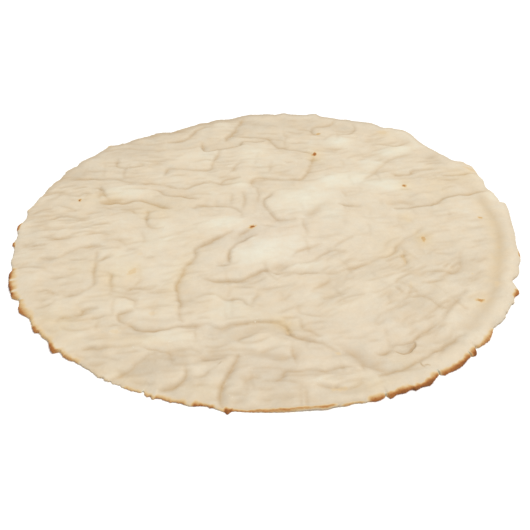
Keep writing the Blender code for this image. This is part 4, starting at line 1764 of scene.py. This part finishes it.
TOASTED = (
    ToastedStretch(195.0, 205.0, 0.58, 2.6 * MM, 1.0, 1.4),
    ToastedStretch(194.7, 203.0, 0.92, 1.8 * MM, 0.8, 1.5, 1.0),
    ToastedStretch(205.0, 212.0, 0.54, 2.6 * MM, 1.5, 1.3),
    ToastedStretch(207.0, 211.0, 0.62, 0.9 * MM, 1.0, 1.5, 1.0),
    ToastedStretch(212.0, 221.0, 0.36, 2.2 * MM, 1.0, 1.0, 1.0),
    ToastedStretch(215.4, 217.0, 0.66, 1.2 * MM, 0.5, 2.0, 0.95),
    ToastedStretch(219.0, 224.4, 0.46, 1.6 * MM, 1.0, 1.4, 1.0),
    ToastedStretch(222.2, 224.2, 0.70, 1.3 * MM, 0.5, 2.0, 0.95),
    ToastedStretch(224.5, 229.5, 0.47, 1.7 * MM, 0.8, 1.1, 1.0),
    ToastedStretch(242.5, 247.7, 0.32, 1.4 * MM, 0.8, 1.3, 1.5),
    ToastedStretch(249.0, 254.0, 0.45, 1.4 * MM, 0.7, 1.2, 1.3),
    ToastedStretch(256.4, 259.5, 0.74, 1.3 * MM, 0.6, 1.5, 1.1),
    ToastedStretch(228.0, 262.0, 0.10, 0.8 * MM, 1.0, 1.5, 1.3),
    ToastedStretch(262.2, 263.3, 0.80, 1.6 * MM, 0.35, 3.0, 1.0),
    ToastedStretch(263.5, 282.0, 0.66, 1.2 * MM, 1.0, 2.2, 0.0),
    ToastedStretch(263.0, 274.0, 0.45, 0.9 * MM, 2.0, 1.8, 0.7),
    ToastedStretch(284.6, 287.4, 0.42, 0.6 * MM, 0.8, 2.0, 1.0),
    ToastedStretch(289.9, 292.6, 0.66, 1.6 * MM, 0.8, 1.5, 1.1),
    ToastedStretch(293.0, 298.2, 0.80, 1.8 * MM, 0.4, 2.2, 1.0),
    ToastedStretch(298.2, 304.8, 0.84, 1.8 * MM, 0.4, 2.2, 1.0),
    ToastedStretch(305.2, 308.0, 0.72, 1.8 * MM, 0.4, 2.0, 1.0),
    ToastedStretch(308.0, 315.2, 0.82, 1.8 * MM, 0.6, 2.0, 1.0),
    ToastedStretch(316.8, 322.5, 0.56, 1.3 * MM, 0.8, 1.4, 1.0),
    ToastedStretch(335.8, 337.6, 0.70, 1.2 * MM, 0.4, 2.0, 1.0),
    ToastedStretch(350.6, 351.8, 0.60, 0.8 * MM, 0.4, 2.0, 1.0),
    ToastedStretch(176.8, 178.8, 0.70, 0.9 * MM, 0.4, 2.0, 1.0),
    ToastedStretch(184.2, 185.4, 0.60, 0.8 * MM, 0.4, 2.0, 1.0),
    ToastedStretch(128.0, 176.0, 0.14, 0.5 * MM, 4.0, 2.0, 1.0),
    ToastedStretch(30.0, 62.0, 0.14, 0.8 * MM, 6.0, 2.0, 1.0),
)


@dataclass(frozen=True)
class SideRing:
    """A ring of the crust's side: its inset in edge roundings, its height in edge heights."""

    inset: float
    height: float


@dataclass
class Layer:
    """Vertices of one part of the mesh, with how dark, how light and how far down each one is."""

    places: np.ndarray
    heights: np.ndarray
    # Darkening along creases, the edge and the side: partly staining, partly painted shade.
    crease_stain_and_shade: np.ndarray
    # Lightness: partly floured dough, partly painted highlight and painted shade.
    floury_and_painted_light: np.ndarray
    drop: np.ndarray


@dataclass
class Crust:
    """The baked crust: one closed mesh, which also stores what its finish reads at each vertex."""

    low: Vector
    high: Vector
    finish: BakedDough = field(default_factory=BakedDough)
    rim_steps: int = 2000
    slit_steps: int = 13
    slit_span: float = 1.5
    lattice_pitch: float = 1.20 * MM
    lattice_gap: float = 0.60 * MM
    line_gap: float = 0.4 * MM
    speck_pitch: float = 0.36 * MM
    speck_patch: float = 1.7
    speck_reach: float = 1.6
    speck_margin: float = 0.3 * MM
    crack_offsets: tuple = (0.2 * MM, 0.45 * MM, 0.8 * MM, 1.3 * MM)
    under_pitch: float = 5.0 * MM
    edge_round: float = 0.7 * MM
    band_insets: tuple = (0.40 * MM, 0.95 * MM, 1.6 * MM, 2.4 * MM, 3.4 * MM, 4.5 * MM)
    side_rings: tuple = (
        SideRing(0.75, 0.93),
        SideRing(0.22, 0.76),
        SideRing(0.00, 0.52),
        SideRing(0.10, 0.28),
        SideRing(0.42, 0.09),
        SideRing(0.95, 0.00),
    )
    side_crumb: float = 0.18 * MM
    crumb_pitch: float = 1.6 * MM
    crumb_step: float = 1.7 * MM
    # Painted shade down the side, darker towards the underside.
    side_painted_shade: float = 1.2
    side_crease_shade: float = 1.3
    # Painted light on the slit walls, lifting them to the palest dough colour.
    slit_painted_light: float = 2.0
    blister_rise: float = 0.35 * MM
    blister_noise: tuple = (2.6 * MM, 1.4 * MM, 0.6)
    blister_gain: float = 2.0
    ragged_share: float = 0.35
    broad_wander: float = 0.40
    broad_pitch: float = 8.0 * MM
    fine_wander: float = 0.30
    fine_pitch: float = 2.8 * MM
    least_wander: float = 0.35
    jagged_noise: tuple = (2.2 * MM, 1.0 * MM, 0.6)
    jagged_share: float = 0.5
    speck_border: tuple = (1.6, 0.85)
    slit_paleness: float = 0.95
    clearance: float = 0.01 * MM
    wall_seed: int = 11

    def __post_init__(self) -> None:
        """Works out the radius, the shift and the stretch that fit the outline to the frame."""
        self.outline = Outline()
        self.wall = Grain(self.wall_seed)
        width = self.high.x - self.low.x
        depth = self.high.y - self.low.y
        rough_low, rough_high = self.outline_box(width / 2.0)
        self.radius = width / (rough_high - rough_low)[0]
        low, high = self.outline_box(self.radius)
        self.middle = (low + high) / 2.0 * self.radius
        room = np.array((width, depth)) - 2.0 * self.clearance
        self.stretch = room / ((high - low) * self.radius)
        self.relief = Relief(self.radius, self.outline)

    def outline_box(self, radius: float) -> tuple[np.ndarray, np.ndarray]:
        """The box round the ragged outline.

        Args:
            radius: the crust's radius in metres.

        Returns:
            The lowest and the highest X and Y, in radii.
        """
        bearing = self.bearings()
        places = around(bearing, self.outline.ragged(bearing, radius))
        return places.min(axis=0), places.max(axis=0)

    def bearings(self) -> np.ndarray:
        """Bearings round the edge, closer together at the slits.

        Returns:
            The bearings in degrees, from 0 upwards.
        """
        parts = [np.linspace(0.0, 360.0, self.rim_steps, endpoint=False)]
        for slit in Outline.SLITS:
            reach = self.slit_span * slit.half_width
            parts.append(np.linspace(slit.bearing - reach, slit.bearing + reach, self.slit_steps))
        return np.unique(np.round(np.concatenate(parts), 3))

    def ring(self, inset: Union[float, np.ndarray]) -> np.ndarray:
        """Places round the edge, drawn in by an inset in metres."""
        bearing = self.bearings()
        return around(bearing, self.outline.ragged(bearing, self.radius) * self.radius - inset)

    def loop_edges(self) -> list[tuple[int, int]]:
        """The edges that close a ring."""
        count = len(self.bearings())
        return [(step, (step + 1) % count) for step in range(count)]

    def inside(self, places: np.ndarray, margin: float) -> np.ndarray:
        """Picks the places that lie well inside the edge.

        Args:
            places: places in metres.
            margin: least distance in from the edge, in metres.

        Returns:
            The places inside.
        """
        edge = self.outline.ragged(bearing_of(places), self.radius) * self.radius
        return places[np.hypot(*places.T) < edge - margin]

    def lattice(self, pitch: float, margin: float) -> np.ndarray:
        """A triangular lattice of places inside the edge.

        Args:
            pitch: distance between neighbours in metres.
            margin: clear distance to the ragged edge in metres.

        Returns:
            The places.
        """
        row_pitch = pitch * math.sqrt(3.0) / 2.0
        rows = math.ceil(1.1 * self.radius / row_pitch)
        row, column = np.mgrid[-rows : rows + 1, -rows : rows + 1]
        x = (column + 0.5 * (row % 2)) * pitch
        return self.inside(np.stack((x.ravel(), row.ravel() * row_pitch), axis=1), margin)

    def speck_places(self) -> list[np.ndarray]:
        """Close-set places over each small speck, so that its border stays crisp.

        Returns:
            An array of places for each speck, in metres.
        """
        patches = []
        for speck in SPECKS:
            half = self.speck_patch * max(speck.half_size) * self.radius
            steps = np.arange(-half, half, self.speck_pitch)
            x, y = (axis.ravel() for axis in np.meshgrid(steps, steps))
            x = x + 0.5 * self.speck_pitch * (np.round(y / self.speck_pitch) % 2)
            places = np.stack((x, y), axis=1) + self.relief.placed(speck.place)
            reach = speck.reach(self.relief.in_radii(places))
            patches.append(places[reach < self.speck_reach])
        return patches

    def crack_places(self) -> list[np.ndarray]:
        """Rows of close-set places along each crack and to either side of it.

        Returns:
            An array of places for each row, in metres.
        """
        left = self.crack_offsets
        offsets = [-offset for offset in reversed(left)] + [0.0] + list(left)
        rows = []
        for fold, line in self.relief.folds:
            if fold.crease.cracked:
                rows.extend(line + left_of(line) * offset for offset in offsets)
        return rows

    def clear_of(self, places: np.ndarray, taken: np.ndarray, gap: float) -> np.ndarray:
        """Picks the places that keep clear of those already taken.

        Args:
            places: places in metres.
            taken: places already taken, in metres.
            gap: about the least distance between the two, in metres.

        Returns:
            The clear places.
        """
        cells = set()
        for column, row in np.floor(taken / gap).astype(int):
            for right in (-1, 0, 1):
                for up in (-1, 0, 1):
                    cells.add((column + right, row + up))
        keep = [tuple(spot) not in cells for spot in np.floor(places / gap).astype(int)]
        return places[np.array(keep)]

    def triangles(self, places: np.ndarray) -> tuple[np.ndarray, np.ndarray]:
        """Triangles over places, inside the ring that comes first among them."""
        made = geometry.delaunay_2d_cdt([Vector(p) for p in places], self.loop_edges(), [], 1, 1e-7)
        return np.array([tuple(v) for v in made[0]]), np.array(made[2])

    def top(self) -> tuple[Layer, np.ndarray]:
        """The top, whose vertices follow the edge, the folds, the specks and a lattice.

        Returns:
            Its vertices, with its edge ring first, and its triangles.
        """
        bands = [self.ring(self.edge_round + inset) for inset in self.band_insets]
        margin = self.edge_round + self.band_insets[-1]
        lines = np.vstack([line for fold, line in self.relief.folds if not fold.crease.cracked])
        lines = self.inside(lines, margin + self.line_gap)
        specks = np.vstack(self.speck_places() + self.crack_places())
        specks = self.inside(specks, margin + self.speck_margin)
        lines = self.clear_of(lines, specks, self.line_gap)
        between = self.lattice(self.lattice_pitch, margin + 0.6 * self.lattice_pitch)
        between = self.clear_of(between, np.vstack((lines, specks)), self.lattice_gap)
        flat = np.vstack([self.ring(self.edge_round)] + bands + [lines, specks, between])
        places, faces = self.triangles(flat)
        heights, crease_stain_and_shade, floury_and_painted_light = self.relief.surface(places)
        level = np.zeros(len(places))
        heights = heights + self.blisters(places, level)
        return Layer(places, heights, crease_stain_and_shade, floury_and_painted_light, level), faces

    def blisters(self, places: np.ndarray, drop: np.ndarray) -> np.ndarray:
        """The rise of the small blisters where the edge is toasted.

        Args:
            places: places in metres.
            drop: how far below the top's edge each place is, in metres.

        Returns:
            The rise in metres.
        """
        lumps = self.wall.layered(places, *self.blister_noise)
        toasted = np.clip(self.blister_gain * self.toast(places, drop), 0.0, 1.0)
        return self.blister_rise * lumps * toasted

    def side(self, top: Layer) -> list[Layer]:
        """The side, from under the top's edge down to the underside.

        It has painted shade, darker towards the bottom, and painted light on the slit walls.

        Args:
            top: the top's vertices.

        Returns:
            One ring of vertices for each of the side's rings, from the highest down.
        """
        bearing = self.bearings()
        count = len(bearing)
        edge_height = top.heights[:count]
        slit_share = self.outline.slit_share(bearing)
        round_the_edge = np.radians(bearing) * self.radius
        layers = []
        for order, ring in enumerate(self.side_rings):
            level = np.full(count, order * self.crumb_step)
            crumb = self.wall.at(round_the_edge, level, self.crumb_pitch)
            rough = self.side_crumb * np.abs(crumb) * (0.0 < ring.height) * (0.0 < ring.inset)
            places = self.ring(ring.inset * self.edge_round + rough)
            # Painted shade, darker down the side, except at the slits, which get painted light.
            shaded = (1.0 - ring.height) * (1.0 - slit_share)
            floury_and_painted_light = top.floury_and_painted_light[:count] - self.side_painted_shade * shaded + self.slit_painted_light * slit_share
            drop = edge_height * (1.0 - ring.height)
            crease_stain_and_shade = self.side_crease_shade * shaded
            layers.append(Layer(places, edge_height * ring.height, crease_stain_and_shade, floury_and_painted_light, drop))
        return layers

    def underside(self, last: Layer) -> tuple[Layer, np.ndarray]:
        """The flat underside's inner vertices and its triangles, which face up.

        Args:
            last: the side's lowest ring.

        Returns:
            The vertices inside that ring, and triangles that count the ring's vertices first.
        """
        margin = self.edge_round + 0.7 * self.under_pitch
        spread_out = self.lattice(self.under_pitch, margin)
        places, faces = self.triangles(np.vstack((last.places, spread_out)))
        inner = places[len(last.places) :]
        none = np.zeros(len(inner))
        return Layer(inner, none, none, none, none + Relief.EDGE), faces

    def toast(self, places: np.ndarray, drop: np.ndarray) -> np.ndarray:
        """How toasted each place is.

        Args:
            places: places in metres.
            drop: how far below the top's edge each place is, in metres.

        Returns:
            Tones from 0, pale, to 1, dark brown.
        """
        bearing = bearing_of(places)
        ragged = self.outline.ragged(bearing, self.radius)
        calm = self.outline.calm(bearing)
        edge = (self.ragged_share * ragged + (1.0 - self.ragged_share) * calm) * self.radius
        inward = np.clip(edge - np.hypot(*places.T), 0.0, None)
        x, y = places.T
        broad = self.broad_wander * self.wall.at(x, y, self.broad_pitch)
        fine = self.fine_wander * self.wall.at(y, x, self.fine_pitch)
        wander = (1.0 + broad + fine).clip(self.least_wander)
        down = np.clip(drop / Relief.EDGE, 0.0, 1.0)
        tone = np.zeros(len(places))
        for stretch in TOASTED:
            tone = np.maximum(tone, stretch.at(bearing, inward / (stretch.reach * wander), down))
        tone = tone * (1.0 - self.slit_paleness * self.outline.slit_share(bearing))
        unit = self.relief.in_radii(places)
        jagged = self.jagged_share * self.wall.layered(places, *self.jagged_noise)
        border, fall = self.speck_border
        for speck in SPECKS:
            spot = speck.level * ease(border - fall * (speck.reach(unit) + jagged))
            tone = np.maximum(tone, spot * (drop == 0.0))
        return tone

    def build(self) -> bpy.types.Object:
        """Builds and dresses the crust.

        Returns:
            The crust, which rides on the frame and replaces its plain solid.
        """
        top, top_faces = self.top()
        layers = [top] + self.side(top)
        count = len(self.bearings())
        upper = np.arange(count)
        total = len(top.places)
        groups = [top_faces]
        for _ in self.side_rings:
            lower = np.arange(total, total + count)
            groups.append(np.column_stack((upper, lower, np.roll(lower, -1), np.roll(upper, -1))))
            total += count
            upper = lower
        under, under_faces = self.underside(layers[-1])
        layers.append(under)
        in_ring = under_faces < count
        under_faces = np.where(in_ring, upper[under_faces % count], under_faces - count + total)
        groups.append(under_faces[:, ::-1])
        places = np.vstack([layer.places for layer in layers])
        heights = np.concatenate([layer.heights for layer in layers])
        drop = np.concatenate([layer.drop for layer in layers])
        crust = self.mesh_object(places, heights, groups)
        self.store(crust, "toast", self.toast(places, drop))
        self.store(crust, "crease", np.concatenate([layer.crease_stain_and_shade for layer in layers]))
        self.store(crust, "flour_and_painted_light", np.concatenate([layer.floury_and_painted_light for layer in layers]))
        self.store(crust, "slant", self.relief.slant(places))
        self.store(crust, "warmth", self.relief.warmth(places))
        crust.data.materials.append(self.finish.material())
        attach(crust, "root")
        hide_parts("crust")
        return crust

    def mesh_object(self, places: np.ndarray, heights: np.ndarray, groups: list) -> bpy.types.Object:
        """Makes the mesh object, moved and fitted into the frame's box.

        Args:
            places: X and Y in metres, about the circle's middle.
            heights: heights in metres.
            groups: arrays of faces.

        Returns:
            The object.
        """
        flat = (places - self.middle) * self.stretch
        top = heights.max()
        log.info("top of the dough %.2f mm, frame %.2f mm", top / MM, self.high.z / MM)
        squeezed = heights * min(1.0, (self.high.z - self.clearance) / top)
        vertices = np.column_stack((flat, squeezed))
        faces = [tuple(face) for group in groups for face in group.tolist()]
        mesh = bpy.data.meshes.new("baked_crust")
        mesh.from_pydata(vertices.tolist(), [], faces)
        mesh.validate()
        mesh.shade_smooth()
        crust = bpy.data.objects.new("baked_crust", mesh)
        bpy.context.scene.collection.objects.link(crust)
        return crust

    def store(self, crust: bpy.types.Object, name: str, levels: np.ndarray) -> None:
        """Stores one number for each vertex on the mesh.

        Args:
            crust: the crust.
            name: the name that the material reads it by.
            levels: the numbers.
        """
        attribute = crust.data.attributes.new(name, "FLOAT", "POINT")
        attribute.data.foreach_set("value", levels.astype(np.float32))


@dataclass
class Studio:
    """Floor, soft light and camera round the crust."""

    middle: np.ndarray
    floor_size: float = 8.0
    floor_gap: float = 0.05 * MM
    key_place: tuple = (0.75, -0.45, 3.00)
    key_size: float = 1.6
    key_power: float = 74.0
    dome_level: float = 0.60
    lens: float = 65.0
    sensor: float = 36.0
    clip_start: float = 0.01
    elevation: float = 36.757
    distance: float = 0.5563
    aim: tuple = (-0.0013, -0.0310)

    def floor(self) -> bpy.types.Object:
        """Makes the floor.

        Returns:
            The floor.
        """
        half = self.floor_size / 2.0
        mesh = bpy.data.meshes.new("floor")
        corners = [(-half, -half, 0.0), (half, -half, 0.0), (half, half, 0.0), (-half, half, 0.0)]
        mesh.from_pydata(corners, [], [(0, 1, 2, 3)])
        floor = bpy.data.objects.new("floor", mesh)
        floor.location.z = -self.floor_gap
        bpy.context.scene.collection.objects.link(floor)
        mesh.materials.append(StudioFloor().material())
        return floor

    def key(self) -> bpy.types.Object:
        """Makes the square soft light overhead, a little to the right and the front.

        Returns:
            The light.
        """
        lamp = bpy.data.lights.new("softbox", "AREA")
        lamp.size = self.key_size
        lamp.energy = self.key_power
        softbox = bpy.data.objects.new("softbox", lamp)
        softbox.location = self.key_place
        softbox.rotation_euler = (-Vector(self.key_place)).to_track_quat("-Z", "Y").to_euler()
        bpy.context.scene.collection.objects.link(softbox)
        return softbox

    def dome(self) -> bpy.types.World:
        """Lights the crust evenly from all round.

        Returns:
            The world that does so.
        """
        world = bpy.data.worlds.new("studio")
        world.use_nodes = True
        background = world.node_tree.nodes["Background"]
        background.inputs["Color"].default_value = (1.0, 1.0, 1.0, 1.0)
        background.inputs["Strength"].default_value = self.dome_level
        bpy.context.scene.world = world
        return world

    def camera(self) -> bpy.types.Object:
        """Makes the camera, which looks down on the crust from the front.

        Returns:
            The camera.
        """
        data = bpy.data.cameras.new("camera")
        data.lens = self.lens
        data.sensor_width = self.sensor
        data.clip_start = self.clip_start
        camera = bpy.data.objects.new("camera", data)
        tilt = math.radians(self.elevation)
        aim = Vector((self.aim[0] - self.middle[0], self.aim[1] - self.middle[1], 0.0))
        back = Vector((0.0, -math.cos(tilt), math.sin(tilt)))
        camera.location = aim + self.distance * back
        camera.rotation_euler = (-back).to_track_quat("-Z", "Y").to_euler()
        bpy.context.scene.collection.objects.link(camera)
        bpy.context.scene.camera = camera
        return camera

    def build(self) -> None:
        """Builds the studio."""
        self.floor()
        self.key()
        self.dome()
        self.camera()
        bpy.context.scene.view_settings.view_transform = "Standard"


def main() -> None:
    """Builds the crust, then the studio."""
    logging.basicConfig(level=logging.INFO, format="%(message)s")
    low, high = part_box("crust")
    maker = Crust(low, high)
    crust = maker.build()
    mesh = crust.data
    log.info("%s: %d vertices, %d faces", crust.name, len(mesh.vertices), len(mesh.polygons))
    Studio(maker.middle).build()
    log.info("studio ready")


if __name__ == "__main__":
    main()
